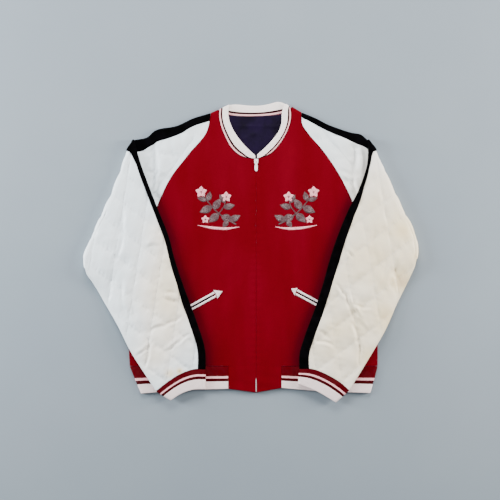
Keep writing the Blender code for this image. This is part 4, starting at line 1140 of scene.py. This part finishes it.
def make_cuff(side):
    """A flattened ring of rib: upper side, turn at the underarm, lower side and turn at the crease."""
    high = CUFF_DEPTH - RIB_WALL / 2
    low = RIB_LOW
    radius = (high - low) / 2 + RIB_WALL / 2
    inset = radius / CUFF_WIDTH
    t = np.linspace(inset, 1 - inset, 25)
    seam = curve(CUFF_SEAM[side], t) + np.array((0, -2 * SEAM_GAP))
    edge = curve(CUFF_EDGE[side], t)
    outward = {}
    for name, here, there in (("crease", 0, 1), ("underarm", -1, -2)):
        step = seam[here] - seam[there]
        outward[name] = step / np.linalg.norm(step)
    under = turn(seam[-1], edge[-1], outward["underarm"], high, low, 9)
    crease = turn(seam[0], edge[0], outward["crease"], high, low, 9)
    back = slice(-2, 0, -1)
    seams = [at_height(seam, high), under[0][1:], at_height(seam[back], low), crease[0][:0:-1]]
    edges = [at_height(edge, high), under[1][1:], at_height(edge[back], low), crease[1][:0:-1]]
    seam, edge = np.concatenate(seams), np.concatenate(edges)
    seam[:, 2] += rest_height(seam[:, :2])
    edge[:, 2] += rest_height(edge[:, :2])
    piece, cut = strip(f"cuff_{side}_band", seam, edge, RIB_WALL, CUFF_RIB, closed=True, crown=CUFF_CROWN)
    return cloth(piece, f"cuff_{side}", cut)


# ---- sleeves ------------------------------------------------------------------------------------------


def fold_line(side):
    """A point of the straight part of the fold, and the direction square to it that leads outwards."""
    start, end = np.array((SLEEVE_FOLD[side][0], SLEEVE_FOLD[side][-3]), float) * MM
    direction = (end - start) / np.linalg.norm(end - start)
    out = np.array((direction[1], -direction[0]))
    if out[0] * start[0] < 0:
        out = -out
    return start, out


def sleeve_xy(side, s, v):
    """Place at row s: 0 to 1 from raglan seam to fold, 1 to 2 in the turn, 2 to 3 from fold to cuff."""
    shoulder = (SHOULDER_CREASE, UPPER_UNDERARM, RAGLAN, SLEEVE_FOLD)
    arm = (ARM_CREASE, ARM_UNDERARM, SLEEVE_FOLD, CUFF_SEAM)
    flat = patch(*(table[side] for table in shoulder), np.clip(s, 0, 1), v)
    folded = patch(*(table[side] for table in arm), np.clip(s - 2, 0, 1), v)
    return np.where((np.asarray(s) <= 1.5)[..., None], flat, folded)


def sleeve_width(side, s):
    """Length of each row across the sleeve, from the crease to the underarm seam."""
    one, zero = np.ones_like(s), np.zeros_like(s)
    return np.linalg.norm(sleeve_xy(side, s, one) - sleeve_xy(side, s, zero), axis=-1)


def quilt_rows(side):
    """The corner that the quilting starts from, and each family's direction with what is square to it."""
    axis = np.arctan2(SLEEVE_AXIS[side][1], SLEEVE_AXIS[side][0])
    angles = (axis - QUILT_ANGLE, axis + QUILT_ANGLE)
    pairs = [(np.array((np.cos(a), np.sin(a))), np.array((-np.sin(a), np.cos(a)))) for a in angles]
    return np.array(QUILT_CORNER[side]) * MM, pairs


def quilt_offsets(side, xy):
    """Distance of each point from the nearest row of stitches of each of the two crossing families."""
    corner, pairs = quilt_rows(side)
    squares = [(xy - corner) @ square for _, square in pairs]
    return [np.abs((square / QUILT_SPACING + 0.5) % 1 - 0.5) * QUILT_SPACING for square in squares]


def quilting(side, xy):
    """How full the wadding stands: 0 on a row of stitches, 1 in the middle of a diamond.

    Each family of rows gives a half sine between its rows, and the height blends the lower of the two
    with their product.
    """
    first, second = quilt_offsets(side, xy)
    peak = QUILT_SPACING / 2
    first, second = np.sin(np.pi / 2 * first / peak), np.sin(np.pi / 2 * second / peak)
    return 0.45 * np.minimum(first, second) ** 0.6 + 0.55 * (first * second) ** 0.45


def in_fold(side, xy):
    """The mirror image of each point in the fold."""
    start, out = fold_line(side)
    return xy - 2 * ((xy - start) @ out)[..., None] * out


def unfolded(side, s, xy):
    """The place that a point before the fold would have after it."""
    return np.where((np.asarray(s) < 1)[..., None], in_fold(side, xy), xy)


def puckers(side, xy, seed):
    """Small wrinkles beside the rows of stitches, dying out 12 mm away, and longer soft ones all over."""
    first, second = quilt_offsets(side, xy)
    near = np.exp(-((np.minimum(first, second) / QUILT_PUCKER_REACH) ** 2))
    return near * ripples(xy, 14 * MM, seed) * 0.55 * MM + ripples(xy, 40 * MM, seed + 1) * 0.7 * MM


def lay(side, s, across, depth):
    """Points of a sleeve at row s, across from the crease and depth up from its back.

    Before the fold the height is the depth. In the turn it follows a half circle round the fold, less
    pulled out at both corners. After it the height is what lies below plus the depth turned over, with a
    crown that is highest midway across and midway along.
    """
    s = np.broadcast_to(s, across.shape)
    v = across / sleeve_width(side, s)
    xy = sleeve_xy(side, s, v)
    _, out = fold_line(side)
    reach = FOLD_INSIDE + SLEEVE_DEPTH - depth
    corner = smooth((v - 0.93) / 0.07) + smooth(1 - v / 0.1)
    pulled = reach * (1 - CORNER_PULL * corner)
    angle = np.pi * np.clip(s - 1, 0, 1)
    share = depth / SLEEVE_DEPTH
    middle = np.clip(4 * v * (1 - v), 0, 1) ** 0.7
    ends = np.clip(np.sin(np.pi * np.clip(s - 2, 0, 1)), 0, 1) ** 0.6
    lift = ends * middle * (CROWN_UNDER * share + CROWN_TOP * (1 - share))
    lift += ends * middle * folds(ARM_FOLDS[side], xy) * (1 - share)
    past = past_support(xy)
    resting = draped(past, DRAPE) + SLEEVE_DEPTH - depth + lift
    upper = ends**0.5 * middle * (depth < SLEEVE_DEPTH / 2)
    resting += upper * (draped(past, TOP_DRAPE) - draped(past, DRAPE))
    edge = np.clip(np.minimum(v, 1 - v) / 0.08, 0, 1) * np.clip(s / 0.12, 0, 1)
    flat = depth + edge * share * folds(SHOULDER_FOLDS[side], xy)
    turning = FOLD_INSIDE + SLEEVE_DEPTH - reach * np.cos(angle)
    z = np.where(s <= 1, flat, np.where(s < 2, turning, resting))
    moved = xy + (pulled * np.sin(angle))[..., None] * out
    return at_height(moved, z)


def row_positions():
    """Rows along a sleeve: close ones beside the raglan and cuff seams and round the fold."""
    start = SEAM_GAP / (200 * MM)
    before = start + (1 - start) * spaced(230 * MM, SLEEVE_ROW_GRID)
    inside = 1 + np.linspace(0, 1, 14)[1:-1]
    after = 2 + spaced(560 * MM, SLEEVE_ROW_GRID)
    return np.concatenate([before, inside, after])


ROWS = row_positions()


def panel_grids(side, half):
    """Outer and inner face of a sleeve's front or back half, and the stain on it.

    The outer face is sunk at the stitches, and wrinkled and creased where it shows. At the underarm
    both faces follow a quarter circle to the other half.
    """
    s = ROWS[:, None]
    width = sleeve_width(side, ROWS)[:, None]
    radius = SLEEVE_DEPTH / 2
    near = stripe_and_shadow_width(side, s) + STRIPE_GAP
    fractions = spaced(170 * MM, SLEEVE_COLUMN_GRID)
    flat = near + (width - radius - near) * fractions[None]
    angles = np.radians((15, 30, 45, 60, 75, 90))[None]
    straight = np.broadcast_to(width - radius, (len(ROWS), angles.shape[1]))
    across = np.concatenate([flat, straight], axis=1)
    spread_s = np.broadcast_to(s, across.shape)
    xy = sleeve_xy(side, spread_s, across / width)
    plan = unfolded(side, spread_s, xy)
    full = quilting(side, plan)
    shown = spread_s <= 1 if half == "front" else spread_s > 1
    edge_fade = np.clip((width - radius - across) / QUILT_EDGE, 0, 1)
    full = 1 - (1 - full) * edge_fade
    sunk = QUILT_RELIEF * (1 - full) * np.where(shown, 1.0, QUILT_HIDDEN)
    fade = edge_fade * np.clip((across - near) / (8 * MM), 0, 1)
    dents = -puckers(side, plan, 31 if side == "right" else 47) * fade
    if half == "back":
        dents = dents - 1.7 * creases(ARM_CREASES[side], xy) * (spread_s > 2) * fade
    else:
        dents = dents - creases(SHOULDER_CREASES[side], xy) * (spread_s < 1) * fade
    rest_face = (spread_s <= 1) if half == "back" else (spread_s > 1)
    dents = np.where(rest_face, 0.0, dents)
    outer_sunk = np.where(rest_face & (half == "back"), 0.0, sunk) + dents
    outer_sunk = np.minimum(outer_sunk, DEEPEST_CREASE)
    faces = []
    meet = radius - SEAM_GAP
    for depth_in in (outer_sunk, np.maximum(SLEEVE_WALL, outer_sunk + THINNEST_WADDING)):
        edge_sunk = depth_in[:, -angles.shape[1] :]
        round_across = width - radius + (radius - edge_sunk) * np.sin(angles)
        round_depth = meet - (meet - edge_sunk) * np.cos(angles)
        face_across = np.concatenate([flat, round_across], axis=1)
        depth = np.concatenate([depth_in[:, : -angles.shape[1]], round_depth], axis=1)
        if half == "front":
            depth = SLEEVE_DEPTH - depth
        faces.append(lay(side, s, face_across, depth))
    return faces[0], faces[1], stain_at(side, plan)


def stain_at(side, xy):
    """How yellowed the satin is, from 0 to 1: the table's patches, each a bell curve, over each other."""
    total = np.zeros(xy.shape[:-1])
    for x, y, reach, strength in STAINS[side]:
        gap = np.linalg.norm(xy - np.array((x, y)) * MM, axis=-1) / (reach * MM)
        total = 1 - (1 - total) * (1 - strength * np.exp(-(gap**2)))
    return np.clip(total * (0.95 + 0.1 * ripples(xy, 90 * MM, 61)), 0, 1)


def make_sleeve_panel(side, half):
    """A sleeve's front or back half, from the raglan seam, over the fold and down to the cuff."""
    outer, inner, stain_and_shade = panel_grids(side, half)
    cut = cut_of(outer)
    outer, inner = rounded(outer, inner, 0.9 * MM, "tbl")
    outer[..., 2] = np.maximum(outer[..., 2], LOWEST)
    piece = wall(f"sleeve_{half}_{side}_satin", outer, inner, WHITE, stain_and_shade)
    return cloth(piece, f"sleeve_{half}_{side}", cut)


def make_stripe(side):
    """The velvet stripe, which wraps the crease from the back half's seam to the front half's."""
    s = ROWS[:, None]
    radius = SLEEVE_DEPTH / 2
    bend = np.radians(np.linspace(-90, 90, 15))
    # Part of this width on the folded stretch is painted shadow.
    width = stripe_and_shadow_width(side, s)
    part = np.linspace(0, 0.9, 10)[None] * np.ones_like(s)
    near = np.minimum(RIM / (width - radius), 0.4)
    part = np.sort(np.concatenate([part, near], axis=1), axis=1)
    flat = width + (radius - width) * part
    faces = []
    for sunk in (0.0, STRIPE_WALL):
        puff = 0.35 * MM * np.sin(np.pi * part) if sunk == 0 else np.zeros_like(part)
        round_across = np.broadcast_to(radius - (radius - sunk) * np.cos(bend), (len(ROWS), len(bend)))
        round_depth = np.broadcast_to(radius + (radius - sunk) * np.sin(bend), (len(ROWS), len(bend)))
        across = np.concatenate([flat, round_across, flat[:, ::-1]], axis=1)
        depth = np.concatenate([sunk - puff, round_depth, SLEEVE_DEPTH - (sunk - puff)[:, ::-1]], axis=1)
        faces.append(lay(side, s, across, depth))
    cut = cut_of(faces[0])
    outer, inner = rounded(faces[0], faces[1], 1.8 * MM)
    outer[..., 2] = np.maximum(outer[..., 2], LOWEST)
    piece = wall(f"sleeve_stripe_{side}_velvet", outer, inner, BLACK)
    return cloth(piece, f"sleeve_stripe_{side}", cut)


# ---- pockets, stitches and zip ------------------------------------------------------------------------


def make_welt(side, which):
    """A roll of piping along the pocket's slit."""
    inner_end, outer_end = np.array(WELTS[side][which], float) * MM
    direction = outer_end - inner_end
    square = np.array((-direction[1], direction[0])) / np.linalg.norm(direction) * WELT_HALF
    line = inner_end + direction * np.linspace(0, 1, 16)[:, None]
    z = front_top(line) + 0.9 * MM
    piece, _ = strip(
        f"pocket_{side}_{which}_piping",
        at_height(line - square, z),
        at_height(line + square, z),
        WELT_WALL,
        PIPING,
        rib=1.7 * MM,
        relief=0.12 * MM,
        crown=0.9 * MM,
        step=0.45 * MM,
    )
    return trim(piece, f"pocket_{side}_{which}")


def make_slit(side):
    """A near-black strip between the two welts, narrowing to a point at the arrowhead: painted shade for the
    pocket's mouth.
    """
    upper, lower = (np.array(WELTS[side][which], float) * MM for which in ("upper_welt", "lower_welt"))
    t = np.linspace(0.02, 1, 24)[:, None]
    first = upper[0] + (upper[1] - upper[0]) * t
    second = lower[0] + (lower[1] - lower[0]) * t
    share = 0.5 - 0.24 * np.clip(t / 0.15, 0.2, 1)
    # Painted shade: a dark strip on the front where the pocket's mouth is in shadow.
    piece, _ = strip(
        f"pocket_{side}_mouth",
        at_height(first * (1 - share) + second * share, front_top(first) + 0.35 * MM),
        at_height(first * share + second * (1 - share), front_top(second) + 0.35 * MM),
        0.5 * MM,
        POCKETING_SHADE,
        rib=0,
        relief=0,
    )
    return trim(piece, None)


def make_arrowhead(side):
    """A satin-stitched arrowhead: a low dome over its outline, ridged by its threads."""
    barb, tip, other, notch = np.array(ARROWHEAD[side], float) * MM
    u = np.linspace(0, 1, 28)[:, None, None]
    v = np.linspace(0, 1, 15)[None, :, None]
    back = np.where(v < 0.5, barb + (notch - barb) * 2 * v, notch + (other - notch) * (2 * v - 1))
    xy = tip + (back - tip) * u
    border = np.clip(4 * v * (1 - v), 0, 1) * np.clip(8 * (1 - u), 0, 1) * np.clip(8 * u, 0, 1)
    rise = (0.5 + 1.0 * np.sqrt(border[..., 0])) * MM
    ridges = 0.12 * MM * np.cos(2 * np.pi * np.arange(28) / 2)[:, None] * np.sqrt(border[..., 0])
    top = front_top(xy)
    outer = at_height(xy, top + rise + ridges)
    inner = at_height(xy, top + 0.2 * MM)
    piece = wall(f"pocket_{side}_arrowhead_thread", outer, inner, PIPING)
    return trim(piece, f"pocket_{side}_arrowhead")


def surface_of(piece):
    """A tree for finding a piece's top face under a point."""
    mesh = piece.data
    points = np.empty(len(mesh.vertices) * 3, np.float32)
    mesh.vertices.foreach_get("co", points)
    polygons = [tuple(p.vertices) for p in mesh.polygons]
    return BVHTree.FromPolygons(points.reshape(-1, 3).tolist(), polygons)


STITCH_LENGTH = 2.8 * MM
STITCH_GAP = 1.1 * MM
STITCH_THICKNESS = 0.55 * MM
# Clear cloth between the quilting and the crease under the stripe, the outer seams, and the other edges.
ARM_STRIPE_CLEAR = 24 * MM
SHOULDER_STRIPE_CLEAR = 26 * MM
SEAM_CLEAR = 8 * MM
EDGE_CLEAR = 4 * MM


def stitches(name, tree, lines, accept):
    """Rows of running stitches on a surface: each is a grain of thread, thickest at its middle."""
    points, faces = [], []
    section = np.array([(np.cos(a), np.sin(a)) for a in np.linspace(0, 2 * np.pi, 7)[:-1]])
    grain = ((-0.5, 0.35), (-0.3, 0.9), (0.3, 0.9), (0.5, 0.35))
    ring = len(section)
    for line in lines:
        count = int(length_of(line) / (STITCH_LENGTH + STITCH_GAP))
        places = along(line, (np.arange(count) + 0.5) / max(count, 1))
        ahead = along(line, (np.arange(count) + 0.6) / max(count, 1))
        kept = accept(places)
        for place, next_place in zip(places[kept], ahead[kept]):
            hit = tree.ray_cast(Vector((*place, 0.2)), Vector((0, 0, -1)))
            if hit[0] is None:
                continue
            direction = np.append(next_place - place, 0)
            direction /= np.linalg.norm(direction)
            normal = np.array(hit[1])
            normal *= np.sign(normal[2])
            direction -= normal * (direction @ normal)
            direction /= np.linalg.norm(direction)
            square = np.cross(normal, direction)
            base = len(points)
            for run, size in grain:
                centre = np.array(hit[0]) + direction * run * STITCH_LENGTH + normal * 0.1 * STITCH_THICKNESS
                for a, b in section * size * STITCH_THICKNESS / 2:
                    points.append(centre + square * a + normal * b)
            for k in range(len(grain) - 1):
                for j in range(ring):
                    one, two = base + k * ring + j, base + k * ring + (j + 1) % ring
                    faces.append((one, two, two + ring, one + ring))
            for start in (base, base + (len(grain) - 1) * ring):
                faces.append((start, start + 1, start + 2, start + 3))
                faces.append((start, start + 3, start + 4, start + 5))
    points = np.array(points)
    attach(mesh_object(name, points, faces, WHITE_THREAD, points[:, :2]), "jacket")


def gap_to(line, places):
    """Distance of each place from the nearest point of a finely stepped line."""
    return np.linalg.norm(places[:, None] - line[None], axis=-1).min(1)


def clear_of(places, gaps):
    """Whether each place is further than the stated gap from every line."""
    return np.all([gap_to(line, places) > gap for line, gap in gaps], axis=0)


def quilt_lines(side, mirrored):
    """The rows of quilting over a whole sleeve, as long straight lines, or their images before the fold."""
    corner, pairs = quilt_rows(side)
    lines = []
    for direction, square in pairs:
        for k in range(-9, 10):
            line = corner + square * QUILT_SPACING * k + direction * np.array((-0.7, 0.7))[:, None]
            lines.append(in_fold(side, line) if mirrored else line)
    return lines


def make_quilting_stitches(side, back_piece, front_piece):
    """Stitches on the folded stretch and on the shoulder, kept clear of the stripe and of the seams."""
    t = np.linspace(0, 1, 90)
    arm, shoulder = arm_outline(side), shoulder_outline(side)
    tables = (ARM_UNDERARM, CUFF_SEAM, ARM_CREASE, SHOULDER_CREASE, RAGLAN, SLEEVE_FOLD)
    under, cuff, crease, top, raglan, fold = (curve(table[side], t) for table in tables)

    def on_arm(places):
        """Whether each place is on the folded stretch, clear of its seams."""
        gaps = ((crease, ARM_STRIPE_CLEAR), (under, SEAM_CLEAR), (cuff, SEAM_CLEAR), (fold, EDGE_CLEAR))
        return (outside(places, arm) <= 0) & clear_of(places, gaps)

    def on_shoulder(places):
        """Whether each place is on the shoulder, where the folded stretch doesn't cover it."""
        gaps = ((top, SHOULDER_STRIPE_CLEAR), (raglan, EDGE_CLEAR))
        return (outside(places, shoulder) <= 0) & (outside(places, arm) > 0) & clear_of(places, gaps)

    back_tree, front_tree = surface_of(back_piece), surface_of(front_piece)
    stitches(f"quilting_arm_{side}", back_tree, quilt_lines(side, False), on_arm)
    stitches(f"quilting_shoulder_{side}", front_tree, quilt_lines(side, True), on_shoulder)


def block(centre, half):
    """Points and faces of a block with chamfered upright edges, wider at its middle than at its ends."""
    cut = 0.8
    ring = np.array([(cut, 1), (1, cut), (1, -cut), (cut, -1), (-cut, -1), (-1, -cut), (-1, cut), (-cut, 1)])
    points = []
    for z, size in ((-1, 0.86), (-0.6, 1.0), (0.6, 1.0), (1, 0.86)):
        for x, y in ring:
            points.append(centre + half * np.array((x * size, y * size, z)))
    faces = []
    for k in range(3):
        for j in range(8):
            faces.append((k * 8 + j, k * 8 + (j + 1) % 8, (k + 1) * 8 + (j + 1) % 8, (k + 1) * 8 + j))
    for base in (0, 24):
        for j in (1, 3, 5):
            faces.append((base, base + j, base + j + 1, base + (j + 2) % 8 if j < 5 else base + 7))
    return np.array(points), np.array(faces)


TOOTH_PITCH = 1.7 * MM
TOOTH_HALF = np.array((1.4, 0.62, 0.7)) * MM
TOOTH_REACH = 0.7 * MM  # from the middle of the zip to the middle of a tooth
TOOTH_Z = 6 * MM


def make_zip_teeth():
    """The closed chain: teeth of both tapes in turn, each a small block that reaches past the middle."""
    bottom, top = TAB_POINT_Y + 34 * MM, SLIDER_Y - 7 * MM
    points, faces = [], []
    for k in range(int((top - bottom) / TOOTH_PITCH)):
        sign = 1 if k % 2 else -1
        centre = np.array((CENTRE_X + sign * TOOTH_REACH, bottom + k * TOOTH_PITCH, TOOTH_Z))
        block_points, block_faces = block(centre, TOOTH_HALF)
        faces.append(block_faces + len(points) * len(block_points))
        points.append(block_points)
    piece = mesh_object("zip_teeth", np.concatenate(points), np.concatenate(faces), METAL)
    return trim(piece, None)


def make_zip_tape(side):
    """One tape: a twill strip with rounded edges."""
    sign = SIDES[side]
    y = np.linspace(NECK_POINT_Y - 2 * MM, TAB_POINT_Y + 3 * MM, 90)
    near = np.stack([np.full(len(y), CENTRE_X + sign * SEAM_GAP), y], axis=1)
    far = np.stack([np.full(len(y), CENTRE_X + sign * TAPE_REACH), y], axis=1)
    near, far = at_height(near, TAPE_MIDDLE_Z), at_height(far, TAPE_MIDDLE_Z)
    piece, cut = strip(f"zip_tape_{side}_twill", near, far, TAPE_WALL, TAPE, rib=0, relief=0, step=4 * MM)
    return cloth(piece, f"zip_tape_{side}", cut)


# ---- embroidery ---------------------------------------------------------------------------------------

# A sprig for the wearer's left chest, mirrored on the right, in millimetres from its centre.
SPRIG_CENTRE = {"right": (-82, 99), "left": (108, 99)}
SPRIG_STEM = ((-44, -34), (-22, -22), (2, -4), (22, 18), (40, 42))
SPRIG_TWIG = ((-2, -8), (-14, 8), (-20, 28))
# Leaves: x and y of the foot, direction in degrees, length and width.
SPRIG_LEAVES = (
    (-28, -26, 152, 30, 17), (-24, -24, -58, 22, 13), (-8, -14, 200, 32, 19), (-2, -8, -42, 32, 19),
    (10, 2, 122, 31, 18), (14, 8, -24, 33, 19), (24, 22, 104, 24, 14), (26, 24, 14, 24, 13),
    (-14, 6, 166, 28, 16), (-17, 18, 58, 24, 14),
)
SPRIG_FLOWERS = ((-20, 32, 12), (40, 44, 13), (30, -22, 9))  # x, y, petal length
SPRIG_BASE = ((-52, -40), (-20, -44), (14, -42), (48, -36))


def raised(xy, rise):
    """Outer and inner face of a patch of threads on the front."""
    top = front_top(xy) + body_detail(xy)
    return at_height(xy, top + 0.15 * MM + rise), at_height(xy, top - 0.3 * MM)


def petal(foot, angle, length, width, centre, flip, rise=0.75):
    """A leaf or petal: its half width is a sine along it, and it is domed across."""
    u = np.linspace(0.02, 0.98, 15)[:, None]
    v = np.linspace(-1, 1, 9)[None]
    along_it = np.array((np.cos(angle), np.sin(angle)))
    square = np.array((-along_it[1], along_it[0]))
    half = width / 2 * np.sin(np.pi * u**0.8)
    local = foot + (u * length)[..., None] * along_it + (half * v)[..., None] * square
    xy = centre * MM + local * np.array((flip, 1)) * MM
    rib = 1 - 0.35 * np.exp(-((v / 0.14) ** 2))
    dome = rise * MM * np.sqrt(np.clip(1 - v**2, 0, 1)) * np.sin(np.pi * u) ** 0.5 * rib
    return raised(xy, dome)


def ribbon(knots, widths, centre, flip):
    """A stem: a smooth curve through its knots, as wide as the widths say, domed across."""
    t = np.linspace(0, 1, 26)
    line = curve(knots, t) / MM
    step = np.gradient(line, axis=0)
    step /= np.linalg.norm(step, axis=1)[:, None]
    square = np.stack([-step[:, 1], step[:, 0]], axis=1)
    v = np.linspace(-1, 1, 7)
    half = np.interp(t, np.linspace(0, 1, len(widths)), widths) / 2
    local = line[:, None] + square[:, None] * (half[:, None] * v[None])[..., None]
    xy = centre * MM + local * np.array((flip, 1)) * MM
    return raised(xy, 0.7 * MM * np.sqrt(np.clip(1 - v**2, 0, 1))[None])


def thread_piece(name, patches, material):
    """All patches of one colour as one piece."""
    points, faces, uv = [], [], []
    for outer, inner in patches:
        block_points, block_faces, flow = wall_parts(outer, inner)
        if volume(block_points, block_faces) < 0:
            block_faces = block_faces[:, ::-1]
        faces.append(block_faces + sum(map(len, points)))
        points.append(block_points)
        uv.append(flow)
    piece = mesh_object(name, np.concatenate(points), np.concatenate(faces), material, np.concatenate(uv))
    return trim(piece, None)


def make_embroidery(side):
    """A leafy sprig with five-petalled flowers over a low ground line, in satin stitch."""
    centre = np.array(SPRIG_CENTRE[side], float)
    flip = SIDES[side]
    dark = []
    for x, y, direction, length, width in SPRIG_LEAVES:
        foot = np.array((x, y), float)
        dark.append(petal(foot, np.radians(direction), length, width, centre, flip))
    dark.append(ribbon(SPRIG_STEM, (4, 3.4, 2.6, 1.8), centre, flip))
    dark.append(ribbon(SPRIG_TWIG, (2.6, 1.6), centre, flip))
    light = [ribbon(SPRIG_BASE, (1.2, 6.5, 6.0, 1.2), centre, flip)]
    for x, y, size in SPRIG_FLOWERS:
        for k in range(5):
            angle = np.radians(90 + 72 * k)
            foot = np.array((x, y)) + 1.2 * np.array((np.cos(angle), np.sin(angle)))
            light.append(petal(foot, angle, size, size * 0.8, centre, flip, 0.9))
        dark.append(petal(np.array((x - 1.9, y - 0.1)), 0.0, 3.8, 3.6, centre, flip, 1.6))
    thread_piece(f"embroidery_{side}_leaves", dark, TAUPE_THREAD)
    thread_piece(f"embroidery_{side}_flowers", light, PINK_THREAD)


# ---- the jacket ---------------------------------------------------------------------------------------

make_back()
make_lining()
make_collar()
make_hem()
for side in SIDES:
    make_front(side)
    make_hem_tab(side)
    make_zip_tape(side)
    panels = {half: make_sleeve_panel(side, half) for half in ("back", "front")}
    make_quilting_stitches(side, panels["back"], panels["front"])
    make_stripe(side)
    make_cuff(side)
    for which in ("upper_welt", "lower_welt"):
        make_welt(side, which)
    make_slit(side)
    make_arrowhead(side)
    make_embroidery(side)
make_zip_teeth()

for node in ("zip_box", "zip_slider", "zip_pull"):
    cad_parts[node].material_slots[0].material = METAL


# ---- floor, light and camera --------------------------------------------------------------------------


def make_floor():
    """A pale smooth floor."""
    made, tree, shader = new_material("pale_floor", 0.75, specular=0.25)
    place = object_coordinates(tree)
    cloud = noise(tree, place, 2.5, 4.0, 0.6)
    tree.links.new(mixed(tree, cloud, linear("#7D8892"), linear("#88929A")), shader.inputs["Base Color"])
    corners = np.array(((-6, -6, 0), (6, -6, 0), (6, 6, 0), (-6, 6, 0)), float)
    floor = mesh_object("floor", corners, np.array(((0, 1, 2, 3),)), made)


LIGHTS = (  # name, place, size, power and colour, each facing the origin
    ("window", (-0.2, 2.0, 1.4), (1.6, 0.8), 78, (1.0, 0.99, 0.97)),
    ("ceiling", (0.1, 0.2, 2.9), (1.6, 1.2), 24, (0.97, 0.99, 1.0)),
    ("left", (-2.1, 0.35, 0.74), (0.5, 1.0), 100, (0.94, 0.98, 1.0)),
    ("right", (2.1, 0.35, 0.74), (0.5, 1.0), 92, (1.0, 0.98, 0.94)),
)
CAMERA_HEIGHT = 2.6
CAMERA_PLACE = (-0.0048, 0.0036, CAMERA_HEIGHT)
PICTURE_WIDTH = 1.2  # what the picture spans at the height of the jacket's face
FACE_HEIGHT = 10 * MM
SENSOR_WIDTH = 36  # millimetres


def make_light(name, place, size, power, color):
    """A rectangular light that faces the origin."""
    data = bpy.data.lights.new(name, "AREA")
    data.shape = "RECTANGLE"
    data.size, data.size_y = size
    data.energy = power
    data.color = color
    obj = bpy.data.objects.new(name, data)
    obj.location = place
    obj.rotation_euler = (-Vector(place)).to_track_quat("-Z", "Y").to_euler()
    bpy.context.scene.collection.objects.link(obj)


def make_camera():
    """Straight down on the jacket."""
    data = bpy.data.cameras.new("camera")
    data.sensor_width = SENSOR_WIDTH
    data.lens = SENSOR_WIDTH * (CAMERA_HEIGHT - FACE_HEIGHT) / PICTURE_WIDTH
    obj = bpy.data.objects.new("camera", data)
    obj.location = CAMERA_PLACE
    bpy.context.scene.collection.objects.link(obj)
    bpy.context.scene.camera = obj


def make_world():
    """An even cool light from all round."""
    world = bpy.data.worlds.new("soft studio")
    world.use_nodes = True
    background = world.node_tree.nodes["Background"]
    background.inputs["Color"].default_value = linear("#DDE4EA")
    background.inputs["Strength"].default_value = 0.32
    bpy.context.scene.world = world


make_floor()
make_world()
for light in LIGHTS:
    make_light(*light)
make_camera()
